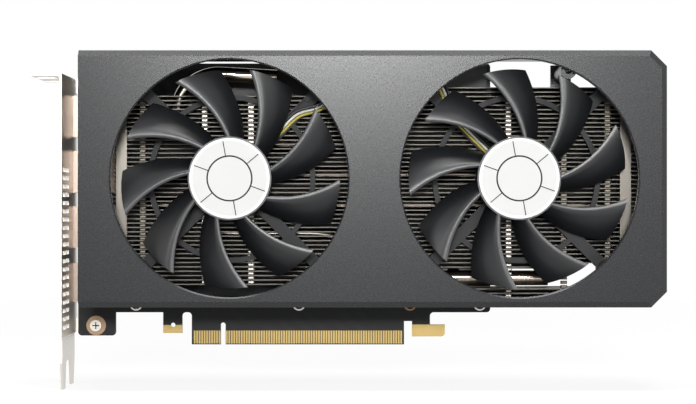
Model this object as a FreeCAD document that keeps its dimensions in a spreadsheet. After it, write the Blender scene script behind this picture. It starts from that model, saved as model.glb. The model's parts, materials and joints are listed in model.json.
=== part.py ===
import FreeCAD, Part
import math
import os
import re

import Sketcher
from FreeCAD import Placement, Rotation, Vector

# A two-slot, two-fan graphics card, standing on its contact edge.
# +X runs from the bracket to the far end, +Z from the contact edge up, and the fans face -Y.
# The origin is the middle of the key notch, on the lower contact edge, at the board's front face.
# Depths are measured forward from that face, so a depth of 10 lies at Y = -10.

# Each driving size: name, value in mm (or a count, or degrees), meaning.
SIZES = (
    # the board and its contact edge
    ("board_thick", 1.57, "board thickness"),
    ("board_left", 58.2, "key notch to the bracket end of the board"),
    ("board_right", 107.2, "key notch to the far end of the board"),
    ("board_top", 112.8, "contact edge to the top of the board"),
    ("board_foot", 12.93, "contact edge to the lower edge of the board"),
    ("board_corner", 1.5, "rounding of the board's corners"),
    ("key_gap", 1.9, "width of the key notch"),
    ("key_rise", 8.8, "height of the key notch"),
    ("short_edge", 11.65, "contact edge before the key notch"),
    ("long_edge", 71.65, "contact edge after the key notch"),
    ("short_contacts", 11, "contacts before the key notch"),
    ("long_contacts", 71, "contacts after the key notch"),
    ("contact_pitch", 1.0, "contact spacing"),
    ("contact_wide", 0.7, "contact width"),
    ("contact_rise", 5.6, "contact height"),
    ("gold_skin", 0.04, "thickness of the gold on the board"),
    ("foot_tab_right", 43.1, "key notch to the end of the bracket tab"),
    ("foot_tab_low", 3.6, "lower edge of the bracket tab"),
    ("stub_left", 24.1, "key notch to the near edge of the plated stub"),
    ("stub_wide", 7.7, "width of the plated stub"),
    ("stub_low", 4.58, "lower edge of the plated stub"),
    ("stub_hole", 0.9, "radius of the hole in the stub"),
    ("stub_hole_in", 4.0, "near edge of the stub to its hole"),
    ("stub_gold_rise", 3.26, "height of the gold on the stub"),
    ("hook_left", 75.8, "key notch to the latch hook"),
    ("hook_neck", 7.2, "width of the hook's neck"),
    ("hook_wide", 13.2, "length of the hook"),
    ("hook_low", 3.23, "lower edge of the hook"),
    ("hook_rise", 4.81, "height of the hook"),
    ("hook_slot_rise", 9.39, "height of the slot before the hook"),
    # the bracket
    ("bracket_reach", 59.2, "key notch to the bracket's inner face"),
    ("bracket_sheet", 0.86, "bracket sheet thickness"),
    ("bracket_front", 34.8, "depth of the bracket's front edge"),
    ("bracket_rear", 3.95, "bracket behind the board's front face"),
    ("bracket_top", 106.3, "height of the bracket's flange"),
    ("bracket_step", 5.0, "height at which the bracket steps out"),
    ("step_out", 0.4, "how far the bracket steps out"),
    ("tongue_start", 4.7, "start of the tongues below the contact edge"),
    ("tongue_tip", 15.1, "tip of the tongues below the contact edge"),
    ("tongue_wide", 10.2, "width of a tongue"),
    ("slot_pitch", 20.32, "spacing of two expansion slots"),
    ("flange_reach", 11.2, "flange beyond the bracket's outer face"),
    ("flange_notch", 4.42, "width of a screw notch in the flange"),
    ("notch_inset", 5.2, "bracket's rear edge to the middle of the first screw notch"),
    ("lug_long", 12.2, "length of a board lug on the bracket"),
    ("lug_high", 6.0, "height of a board lug"),
    ("lug_screw_reach", 51.0, "key notch to the bracket screws"),
    ("lug_screw_low", 7.65, "height of the lower bracket screw"),
    ("lug_screw_top", 104.0, "height of the upper bracket screw"),
    ("vent_long", 6.6, "length of a vent slot"),
    ("vent_high", 1.6, "height of a vent slot"),
    ("vent_pitch", 3.2, "spacing of the vent slots"),
    ("vent_count", 20, "vent slots in a column"),
    ("vent_low", 8.0, "height of the lowest vent slot"),
    ("vent_inset", 3.0, "front edge of the bracket to the vent slots"),
    ("vent_gap", 1.6, "metal between the two columns of vent slots"),
    # the sockets on the bracket
    ("socket_top", 91.2, "height of the uppermost display socket"),
    ("socket_pitch", 22.0, "spacing of the sockets"),
    ("socket_wide", 16.4, "width of a display socket"),
    ("socket_high", 6.0, "height of a socket off the board"),
    ("socket_deep", 17.5, "length of a socket"),
    ("socket_wall", 0.5, "socket shell thickness"),
    ("media_wide", 15.2, "width of the lowest socket"),
    ("tongue_thick", 1.5, "thickness of a socket's tongue"),
    ("tongue_drop", 2.0, "mouth of a socket to the tip of its tongue"),
    ("tongue_side", 2.25, "side of a socket to the side of its tongue"),
    ("block_deep", 5.0, "length of the block that holds a tongue"),
    ("window_gap", 0.2, "clearance round a socket in the bracket"),
    # the shroud
    ("shroud_left", 52.5, "key notch to the bracket end of the shroud"),
    ("shroud_right", 171.6, "key notch to the far end of the shroud"),
    ("shroud_rise", 48.8, "fan axes to the top of the shroud"),
    ("shroud_drop", 49.2, "fan axes to the lower side of the shroud"),
    ("shroud_front", 38.0, "depth of the shroud's face"),
    ("shroud_rear", 6.3, "depth of the shroud's rear edge"),
    ("shroud_wall", 2.0, "shroud wall thickness"),
    ("shroud_bevel", 2.3, "bevel round the shroud's face"),
    ("shroud_corner", 6.0, "cut of the shroud's far corners"),
    ("opening_radius", 45.25, "fan opening radius"),
    ("opening_bevel", 0.5, "bevel of the fan opening's lip"),
    ("power_gap", 3.0, "clearance round the power socket"),
    ("boss_radius", 3.0, "radius of a screw boss"),
    ("rib_wide", 2.4, "width of the rib from a post to the shroud's top"),
    ("screw_radius", 1.2, "radius of the screws' threads"),
    # the fans
    ("fan_reach", 5.0, "key notch to the axis of the fan by the bracket"),
    ("fan_spacing", 110.3, "distance between the fan axes"),
    ("fan_height", 66.2, "height of the fan axes"),
    ("hub_radius", 15.9, "hub radius"),
    ("hub_front", 36.2, "depth of the hub's face"),
    ("hub_rear", 25.9, "depth of the hub's open end"),
    ("hub_wall", 1.5, "hub wall thickness"),
    ("disc_radius", 15.3, "radius of the disc on the hub"),
    ("disc_thick", 0.4, "thickness of the disc on the hub"),
    ("tip_radius", 42.0, "blade tip radius"),
    ("blade_count", 9, "blades on a fan"),
    ("blade_front", 35.9, "depth of the blades' leading edges"),
    ("blade_rear", 26.6, "depth of the blades' trailing edges"),
    ("blade_thick", 1.3, "blade thickness at mid chord"),
    ("blade_span", 22.0, "angle that a blade covers at the hub"),
    ("blade_widen", 2.0, "angle that a blade gains from hub to tip"),
    ("blade_sweep", 26.5, "angle that the leading edge gains from hub to tip"),
    ("blade_camber", 1.0, "bow of a blade's section towards the front"),
    ("left_fan_turn", 0.6, "angle of a blade's leading tip, fan by the bracket"),
    ("right_fan_turn", -9.8, "angle of a blade's leading tip, far fan"),
    ("shaft_radius", 1.5, "shaft radius"),
    ("shaft_gap", 0.03, "radial clearance of the shaft in its bearing"),
    ("shaft_seat", 2.0, "length of the hub's shaft boss"),
    ("end_gap", 0.3, "clearance at the shaft's end and above the bearing"),
    ("bearing_radius", 3.0, "bearing sleeve radius"),
    ("post_wall", 1.2, "wall of the post that holds the bearing"),
    ("magnet_thick", 1.6, "magnet ring thickness"),
    ("magnet_long", 6.5, "magnet ring length"),
    ("air_gap", 0.6, "gap between magnet and stator"),
    ("stator_long", 4.5, "stator stack length"),
    ("pole_count", 4, "stator poles"),
    ("pole_wide", 3.0, "stator pole width"),
    ("frame_front", 24.6, "depth of the fan frame's front face"),
    ("frame_thick", 2.2, "fan frame thickness"),
    ("arm_wide", 4.6, "width of a fan frame arm"),
    ("channel_wide", 3.5, "width of the lead channel in an arm"),
    ("channel_deep", 1.2, "depth of the lead channel in an arm"),
    ("ring_radius", 32.5, "outer radius of the fan frame's ring"),
    ("ring_wide", 2.0, "width of the fan frame's ring"),
    ("ear_radius", 3.6, "radius of a fan frame's ear"),
    ("ear_reach", 48.8, "fan axis to the ears"),
    ("drive_radius", 11.5, "fan drive board radius"),
    ("drive_thick", 0.8, "fan drive board thickness"),
    ("lead_radius", 0.5, "fan lead radius"),
    ("lead_pitch", 1.15, "fan lead spacing"),
    ("stator_rim", 1.2, "thickness of the stator's core and rim"),
    ("coil_side", 1.2, "thickness of a coil beside its pole"),
    ("coil_lip", 0.4, "thickness of a coil over its pole"),
    ("screw_bite", 6.0, "length of a shroud screw in its boss"),
    # the cooler
    ("fin_pitch", 1.7, "fin spacing"),
    ("fin_thick", 0.4, "fin thickness"),
    ("fin_front", 22.0, "depth of the fins' front edges"),
    ("fin_rear", 9.0, "depth of the fins' rear edges"),
    ("near_fin_left", 41.5, "key notch to the bracket end of the near fins"),
    ("near_fin_right", 61.5, "key notch to the far end of the near fins"),
    ("near_fin_drop", 41.2, "fan axes to the lowest near fin"),
    ("near_fin_count", 44, "fins in the near stack"),
    ("far_fin_left", 67.5, "key notch to the near end of the far fins"),
    ("far_fin_right", 165.0, "key notch to the far end of the far fins"),
    ("far_fin_drop", 46.4, "fan axes to the lowest far fin"),
    ("far_fin_count", 49, "fins in the far stack"),
    ("far_gap_left", 84.0, "key notch to the near end of the gap in the lower far fins"),
    ("far_gap_right", 150.0, "key notch to the far end of the gap in the lower far fins"),
    ("far_gap_drop", 42.3, "fan axes to the gap's lower side"),
    ("far_gap_rise", 33.2, "fan axes to the upper side of the gap beyond the pipe"),
    ("pipe_room", 0.6, "fins over the lowest pipe to the pipe"),
    ("fin_fold", 0.35, "thickness of the fins' folded rear edges"),
    ("rail_wide", 4.2, "width of a side rail"),
    ("rail_sheet", 1.6, "side rail thickness"),
    ("near_rail_inset", 1.4, "near fins beyond their side rail"),
    ("far_rail_inset", 4.9, "far fins beyond their side rail"),
    ("ear_rise", 9.4, "height of a cooler ear"),
    ("tab_wide", 8.0, "width of the far cooler tab"),
    ("tab_deep", 7.0, "length of the far cooler tab's foot"),
    ("pipe_gap", 0.05, "clearance of a heat pipe in its groove"),
    ("low_pipe_down", 17.0, "middle of the processor to the lowest pipe"),
    ("low_pipe_drop", 39.0, "fan axes to the lowest pipe in the far fins' gap"),
    ("low_pipe_end", 129.0, "key notch to the end of the lowest pipe"),
    ("pipe_web", 0.8, "base block behind the heat pipes"),
    ("mid_pipe_down", 6.0, "middle of the processor to the lower middle pipe"),
    ("mid_pipe_spacing", 12.0, "spacing of the middle pipes"),
    ("top_pipe_up", 18.0, "middle of the processor to the upper pipe"),
    ("top_pipe_rise", 41.8, "fan axes to the upper pipe above the near fins"),
    ("top_pipe_out", 12.0, "base block to the upper pipe's outer bend"),
    ("top_pipe_long", 39.0, "length of the upper pipe above the fins"),
    ("pipe_inset", 4.0, "end of a pipe inside the base block's edge"),
    ("pipe_bend", 11.0, "room that a bend takes along a pipe"),
    ("pipe_end_gap", 11.0, "fins beyond the ends of the middle pipes"),
    ("pipe_radius", 3.0, "heat pipe radius"),
    ("gpu_reach", 25.0, "key notch to the middle of the processor"),
    ("gpu_height", 62.0, "height of the middle of the processor"),
    ("package_side", 35.0, "side of the processor package"),
    ("package_thick", 1.2, "processor package thickness"),
    ("die_wide", 16.0, "width of the bare chip"),
    ("die_high", 13.0, "height of the bare chip"),
    ("die_thick", 0.8, "thickness of the bare chip"),
    ("plate_side", 72.0, "side of the copper plate"),
    ("thread_web", 0.5, "copper left in front of a threaded hole"),
    ("plate_front", 6.0, "depth of the copper plate's front face"),
    ("block_side", 60.0, "side of the base block"),
    ("memory_wide", 12.0, "memory chip width"),
    ("memory_long", 14.0, "memory chip length"),
    ("memory_reach", 28.5, "middle of the processor to a memory chip"),
    ("memory_offset", 9.0, "half the spacing of two memory chips"),
    ("clamp_offset", 25.0, "half the spacing of the clamp screws"),
    ("clamp_radius", 1.25, "clamp screw radius"),
    ("clamp_thick", 1.2, "clamp plate thickness"),
    ("clamp_wide", 9.0, "width of the clamp plate's arms"),
    ("clamp_pad", 0.5, "thickness of the clamp's insulating pad"),
    ("spring_long", 2.5, "length of a clamp spring"),
    ("spring_radius", 2.3, "coil radius of a clamp spring"),
    ("spring_wire", 0.35, "wire radius of a clamp spring"),
    ("spring_turns", 3, "turns of a clamp spring"),
    ("choke_side", 7.0, "side of a choke"),
    ("choke_high", 4.5, "height of a choke"),
    ("choke_reach", 76.5, "key notch to the chokes"),
    ("choke_drop", 30.0, "middle of the processor to the lowest choke"),
    ("choke_pitch", 9.5, "spacing of the chokes"),
    ("choke_count", 7, "chokes"),
    ("stage_reach", 86.5, "key notch to the power stages"),
    ("stage_long", 6.0, "length of a power stage"),
    ("stage_wide", 5.0, "width of a power stage"),
    ("stage_high", 1.0, "height of a power stage"),
    ("can_radius", 3.0, "radius of a capacitor"),
    ("can_high", 5.4, "height of a capacitor"),
    ("can_reach", 97.0, "key notch to the capacitors"),
    ("pad_thick", 0.8, "thermal pad thickness"),
    ("power_right", 105.0, "key notch to the far side of the power socket"),
    ("power_top", 112.0, "height of the power socket's mouth"),
    ("power_pitch", 4.2, "spacing of the power socket's cells"),
    ("power_columns", 4, "columns of cells in the power socket"),
    ("power_cell", 3.2, "width of a cell"),
    ("power_wall", 0.5, "housing beside the outer cells"),
    ("pin_side", 1.0, "side of a power pin"),
    ("pin_drop", 1.5, "mouth of a cell to the tip of its pin"),
    ("power_long", 13.0, "length of the power socket"),
    ("cell_deep", 9.5, "depth of a cell"),
    ("header_reach", 58.0, "key notch to the middle of the two fan headers"),
    ("header_offset", 5.0, "half the spacing of the fan headers"),
    ("header_height", 107.6, "height of the fan headers"),
    ("header_long", 6.0, "length of a fan header"),
    ("header_high", 3.0, "height of a fan header off the board"),
    ("header_wide", 5.2, "width of a fan header"),
    ("plug_long", 5.0, "length of a fan plug"),
    ("tab_boss_reach", 134.2, "key notch to the upper far shroud boss"),
    ("head_radius", 2.3, "radius of a screw head"),
    ("head_high", 1.5, "height of a screw head"),
    ("cross_wide", 0.6, "width of the cross in a screw head"),
    ("copper_wide", 1.6, "width of a copper ring on the board"),
    ("ceramic_side", 1.6, "side of a small capacitor behind the board"),
    ("ceramic_high", 0.9, "height of a small capacitor behind the board"),
    ("ceramic_pitch", 2.4, "spacing of the small capacitors"),
)

doc = FreeCAD.newDocument("graphics_card")
sheet = doc.addObject("Spreadsheet::Sheet", "sizes")
for row, (alias, number, meaning) in enumerate(SIZES, start=1):
    sheet.set(f"A{row}", meaning)
    sheet.set(f"B{row}", str(number))
    sheet.setAlias(f"B{row}", alias)
doc.recompute()

SUBPARTS = []


def size(alias):
    """The value of a named size."""
    return float(sheet.get(alias))


def count(alias):
    """The value of a named size that counts things."""
    return int(round(size(alias)))


def linked(formula):
    """A formula whose size names (each holds an underscore) point at the sheet."""
    return re.sub(r"[a-z]+(?:_[a-z]+)+", lambda word: "sizes." + word.group(), formula)


def subpart(piece, label):
    """Name a finished piece and list it for export."""
    piece.Label = label
    SUBPARTS.append(piece)
    return piece


def place(piece, x="0", y="0", z="0"):
    """Tie a piece's position to formulas."""
    for axis, formula in zip("xyz", (x, y, z)):
        piece.setExpression(".Placement.Base." + axis, linked(formula))
    return piece


# ---------------------------------------------------------------- primitives and booleans

def box(name, x, y, z, wide, deep, high):
    """A box from its lowest corner and three sides, all formulas."""
    piece = doc.addObject("Part::Box", name)
    for side, formula in (("Length", wide), ("Width", deep), ("Height", high)):
        piece.setExpression(side, linked(formula))
    return place(piece, x, y, z)


def rod(name, x, y, z, radius, length, direction=Vector(0, -1, 0)):
    """A cylinder from the middle of one end, by default running forward."""
    piece = doc.addObject("Part::Cylinder", name)
    piece.Placement = Placement(Vector(), Rotation(Vector(0, 0, 1), direction))
    piece.setExpression("Radius", linked(radius))
    piece.setExpression("Height", linked(length))
    return place(piece, x, y, z)


def cut(name, base, tool):
    """One piece less another."""
    piece = doc.addObject("Part::Cut", name)
    piece.Base = base
    piece.Tool = tool
    return piece


def fuse(name, pieces):
    """Several pieces made one."""
    piece = doc.addObject("Part::MultiFuse", name)
    piece.Shapes = pieces
    return piece


def group(name, pieces):
    """Several like pieces that stay separate solids."""
    piece = doc.addObject("Part::Compound", name)
    piece.Links = pieces
    return piece


def made(name, shape, placement=Placement()):
    """A piece whose shape is worked out in code."""
    piece = doc.addObject("Part::Feature", name)
    piece.Shape = shape
    piece.Placement = placement
    return piece


# ---------------------------------------------------------------- sketched bodies

def new_body(name):
    """An empty body."""
    return doc.addObject("PartDesign::Body", name)


def origin_part(body, role):
    """An origin plane or axis of a body."""
    return next(part for part in body.Origin.OriginFeatures if part.Role == role)


def sketch_on(body, role, name, offset="0"):
    """A sketch on an origin plane of its body, moved along the plane's normal."""
    sketch = body.newObject("Sketcher::SketchObject", name)
    sketch.AttachmentSupport = [(origin_part(body, role), "")]
    sketch.MapMode = "FlatFace"
    sketch.setExpression(".AttachmentOffset.Base.z", linked(offset))
    return sketch


def pin_point(sketch, geometry, position, x, y):
    """Hold a sketch point at two formulas from the origin."""
    start = sketch.getPoint(geometry, position)
    for kind, axis, formula, number in (("DistanceX", -2, x, start.x), ("DistanceY", -1, y, start.y)):
        if formula == "0":
            sketch.addConstraint(Sketcher.Constraint("PointOnObject", geometry, position, axis))
            continue
        index = sketch.addConstraint(Sketcher.Constraint(kind, -1, 1, geometry, position, number))
        sketch.setExpression(f"Constraints[{index}]", linked(formula))


def add_outline(sketch, corners):
    """A closed outline of straight sides through corners given as formulas."""
    total = len(corners)
    first = sketch.GeometryCount
    # The corners start on a circle, in order, and the constraints then carry them to their places.
    turn = 2 * math.pi / total
    start = [Vector(10 * math.cos(n * turn), 10 * math.sin(n * turn), 0) for n in range(total)]
    for n in range(total):
        sketch.addGeometry(Part.LineSegment(start[n], start[(n + 1) % total]), False)
    for n in range(total):
        after = first + (n + 1) % total
        sketch.addConstraint(Sketcher.Constraint("Coincident", first + n, 2, after, 1))
    for n, (x, y) in enumerate(corners):
        pin_point(sketch, first + n, 1, x, y)


def add_rectangle(sketch, left, low, right, high):
    """A rectangle from formulas for its four sides."""
    add_outline(sketch, ((left, low), (right, low), (right, high), (left, high)))


def add_circle(sketch, x, y, radius):
    """A circle from formulas for its middle and radius."""
    index = sketch.addGeometry(Part.Circle(Vector(3, 4, 0), Vector(0, 0, 1), 1.0), False)
    pin_point(sketch, index, 3, x, y)
    round_size = sketch.addConstraint(Sketcher.Constraint("Radius", index, 1.0))
    sketch.setExpression(f"Constraints[{round_size}]", linked(radius))


def pad(body, sketch, length, name):
    """Raise a sketch along its normal."""
    feature = body.newObject("PartDesign::Pad", name)
    feature.Profile = sketch
    feature.setExpression("Length", linked(length))
    return feature


def pocket(body, sketch, length, name):
    """Sink a sketch against its normal."""
    feature = body.newObject("PartDesign::Pocket", name)
    feature.Profile = sketch
    feature.setExpression("Length", linked(length))
    return feature


def pattern_round(body, features, role, occurrences, name):
    """Repeat features evenly round an origin axis."""
    feature = body.newObject("PartDesign::PolarPattern", name)
    feature.Originals = features
    feature.Axis = (origin_part(body, role), [""])
    feature.Angle = 360
    feature.Occurrences = occurrences
    body.Tip = feature
    return feature


def pattern_row(body, features, role, length, occurrences, name):
    """Repeat features evenly along an origin axis."""
    feature = body.newObject("PartDesign::LinearPattern", name)
    feature.Originals = features
    feature.Direction = (origin_part(body, role), [""])
    feature.setExpression("Length", linked(length))
    feature.Occurrences = occurrences
    body.Tip = feature
    return feature


def dress(body, kind, edges, amount, name):
    """Round or bevel edges of the body's tip."""
    base = body.Tip
    feature = body.newObject("PartDesign::" + kind, name)
    feature.Base = (base, edges)
    feature.setExpression("Radius" if kind == "Fillet" else "Size", linked(amount))
    return feature


def edges_where(body, test):
    """Names of the edges of the body's tip whose middle point passes a test."""
    doc.recompute()
    names = []
    for index, edge in enumerate(body.Tip.Shape.Edges, start=1):
        middle = edge.valueAt((edge.FirstParameter + edge.LastParameter) / 2)
        if test(edge, middle):
            names.append(f"Edge{index}")
    return names


def corner_edges(body, places):
    """Names of the front-to-back edges that stand at given X, Z places."""
    def stands(edge, middle):
        along = edge.tangentAt(edge.FirstParameter)
        if abs(along.y) < 0.99:
            return False
        return any(math.hypot(middle.x - x, middle.z - z) < 0.05 for x, z in places)
    return edges_where(body, stands)


# ---------------------------------------------------------------- paths of pipes and leads

def rounded_path(points):
    """Straight runs joined by tangent arcs, each arc as large as its runs allow."""
    edges = []
    at = points[0]
    for before, corner, after in zip(points, points[1:], points[2:]):
        back = before - corner
        ahead = after - corner
        half_turn = (math.pi - back.getAngle(ahead)) / 2
        reach = 0.45 * min(back.Length, ahead.Length)
        start = corner + back.normalize() * reach
        end = corner + ahead.normalize() * reach
        towards = (back + ahead).normalize()
        radius = reach / math.tan(half_turn)
        middle = corner + towards * (radius / math.cos(half_turn) - radius)
        edges.append(Part.LineSegment(at, start).toShape())
        edges.append(Part.Arc(start, middle, end).toShape())
        at = end
    edges.append(Part.LineSegment(at, points[-1]).toShape())
    return Part.Wire(edges)


def tube(points, radius):
    """A round solid along straight runs joined by tangent arcs."""
    path = rounded_path(points)
    along = (points[1] - points[0]).normalize()
    section = Part.Wire([Part.Circle(points[0], along, radius).toShape()])
    return path.makePipeShell([section], True, False)


# ---------------------------------------------------------------- formulas that several pieces share

EDGE_START = "-(key_gap / 2 + short_edge)"
EDGE_END = "key_gap / 2 + long_edge"
BRACKET_INNER = "-bracket_reach"
BRACKET_OUTER = "-(bracket_reach + bracket_sheet)"
SOCKET_HEIGHTS = ("socket_top", "socket_top - socket_pitch", "socket_top - 2 * socket_pitch")
MEDIA_HEIGHT = "socket_top - 3 * socket_pitch"
RAIL_LEFT = "-(near_fin_left - near_rail_inset)"
RAIL_RIGHT = "far_fin_right - far_rail_inset - rail_wide"
SHROUD_TOP = "fan_height + shroud_rise"
SHROUD_FOOT = "fan_height - shroud_drop"
NEAR_FIN_LOW = "fan_height - near_fin_drop"
FAR_FIN_LOW = "fan_height - far_fin_drop"
CHOKE_LOW = "gpu_height - choke_drop"
NEAR_FIN_TOP = NEAR_FIN_LOW + " + (near_fin_count - 1) * fin_pitch + fin_thick"
FAR_FIN_TOP = FAR_FIN_LOW + " + (far_fin_count - 1) * fin_pitch + fin_thick"
EAR_MIDDLE = "ear_rise - boss_radius - 1"
FOOT_EAR_MIDDLE = SHROUD_FOOT + " + shroud_wall + head_radius"
# Each shroud post: its X and Z, and the depth of the ear's rear face, where the screw's head sits.
SHROUD_BOSSES = (
    (RAIL_LEFT + " + rail_wide / 2", NEAR_FIN_TOP + " + " + EAR_MIDDLE, "fin_rear"),
    (RAIL_LEFT + " + rail_wide / 2", FOOT_EAR_MIDDLE, "fin_front - rail_sheet"),
    ("tab_boss_reach", FAR_FIN_TOP + " + " + EAR_MIDDLE, "fin_rear"),
    (RAIL_RIGHT + " + rail_wide / 2", FAR_FIN_TOP + " + " + EAR_MIDDLE, "fin_rear"),
)
POWER_LEFT = "power_right - power_columns * power_pitch"
FANS = (("left", "fan_reach"), ("right", "fan_reach + fan_spacing"))
QUARTERS = (45, 135, 225, 315)
LEAD_COLOURS = ("yellow", "white", "black")


# ---------------------------------------------------------------- the board

def board():
    """The circuit board, with its contact edge, latch hook, plated stub and bracket tab."""
    body = new_body("board_body")
    outline = sketch_on(body, "XZ_Plane", "board_outline", "-board_thick")
    add_outline(outline, (
        ("-board_left", "foot_tab_low"), ("-foot_tab_right", "foot_tab_low"),
        ("-foot_tab_right", "board_foot"), ("-stub_left", "board_foot"),
        ("-stub_left", "stub_low"), ("-stub_left + stub_wide", "stub_low"),
        ("-stub_left + stub_wide", "board_foot"), (EDGE_START, "board_foot"),
        (EDGE_START, "0"), ("-key_gap / 2", "0"),
        ("-key_gap / 2", "key_rise"), ("key_gap / 2", "key_rise"),
        ("key_gap / 2", "0"), (EDGE_END, "0"),
        (EDGE_END, "hook_slot_rise"), ("hook_left", "hook_slot_rise"),
        ("hook_left", "hook_low"), ("hook_left + hook_wide", "hook_low"),
        ("hook_left + hook_wide", "hook_low + hook_rise"), ("hook_left + hook_neck", "hook_low + hook_rise"),
        ("hook_left + hook_neck", "board_foot"), ("board_right", "board_foot"),
        ("board_right", "board_top"), ("-board_left", "board_top"),
    ))
    pad(body, outline, "board_thick", "board_plate")

    holes = sketch_on(body, "XZ_Plane", "board_holes")
    for high in ("lug_screw_low", "lug_screw_top"):
        add_circle(holes, "-lug_screw_reach", high, "screw_radius + window_gap")
    for side_x in ("-", "+"):
        for side_z in ("-", "+"):
            add_circle(holes, f"gpu_reach {side_x} clamp_offset", f"gpu_height {side_z} clamp_offset",
                       "clamp_radius + window_gap")
    add_circle(holes, "-stub_left + stub_hole_in", "stub_low + stub_gold_rise", "stub_hole")
    pocket(body, holes, "board_thick", "board_hole_cut")

    half_key = size("key_gap") / 2
    notch_tops = [(side * half_key, size("key_rise")) for side in (-1, 1)]
    dress(body, "Fillet", corner_edges(body, notch_tops), "key_gap * 0.49", "key_notch_round")
    slot_right = -(half_key + size("short_edge"))
    slot_left = -size("stub_left") + size("stub_wide")
    soft = [(-size("board_left"), size("foot_tab_low")), (-size("foot_tab_right"), size("foot_tab_low")),
            (slot_left, size("board_foot")), (slot_right, size("board_foot")),
            (size("hook_left") + size("hook_neck"), size("board_foot")),
            (size("hook_left") + size("hook_wide"), size("hook_low")),
            (size("board_right"), size("board_foot")), (size("board_right"), size("board_top"))]
    dress(body, "Fillet", corner_edges(body, soft), "board_corner", "board_corner_round")
    bevel_edges = edges_where(body, lambda edge, middle: abs(middle.z) < 0.01
                              and abs(edge.tangentAt(edge.FirstParameter).x) > 0.99)
    dress(body, "Chamfer", bevel_edges, "board_thick / 4", "contact_edge_bevel")
    return subpart(body, "circuit_board")


def edge_contacts():
    """Gold contacts on both faces of the contact edge."""
    skin = size("gold_skin")
    bevel = size("board_thick") / 4
    pitch = size("contact_pitch")
    wide = size("contact_wide")
    half_key = size("key_gap") / 2
    plates = []
    for depth in (-skin, size("board_thick")):
        for number in range(count("short_contacts")):
            x = -half_key - (number + 0.5) * pitch - wide / 2
            plates.append(Part.makeBox(wide, skin, size("contact_rise") - bevel, Vector(x, depth, bevel)))
        for number in range(count("long_contacts")):
            x = half_key + (number + 0.5) * pitch - wide / 2
            plates.append(Part.makeBox(wide, skin, size("contact_rise") - bevel, Vector(x, depth, bevel)))
    return subpart(made("edge_contact_plates", Part.makeCompound(plates)), "edge_contacts")


def tab_plating():
    """Gold on both faces of the latch hook and of the stub, with the stub's hole left free."""
    plates = []
    skin = size("gold_skin")
    hook_right = size("hook_left") + size("hook_wide")
    hole = Vector(size("stub_hole_in") - size("stub_left"), -1, size("stub_low") + size("stub_gold_rise"))
    for depth in (-skin, size("board_thick")):
        hook = Part.makeBox(size("hook_wide"), skin, size("hook_rise"),
                            Vector(size("hook_left"), depth, size("hook_low")))
        corner = [edge for edge in hook.Edges
                  if all(abs(v.X - hook_right) < 0.001 and abs(v.Z - size("hook_low")) < 0.001
                         for v in edge.Vertexes)]
        plates.append(hook.makeFillet(size("board_corner"), corner))
        stub = Part.makeBox(size("stub_wide"), skin, size("stub_gold_rise"),
                            Vector(-size("stub_left"), depth, size("stub_low")))
        plates.append(stub.cut(Part.makeCylinder(size("stub_hole"), size("board_thick") + 2, hole,
                                                 Vector(0, 1, 0))))
    return subpart(made("tab_gold", Part.makeCompound(plates)), "tab_plating")


# ---------------------------------------------------------------- the bracket and its sockets

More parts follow.
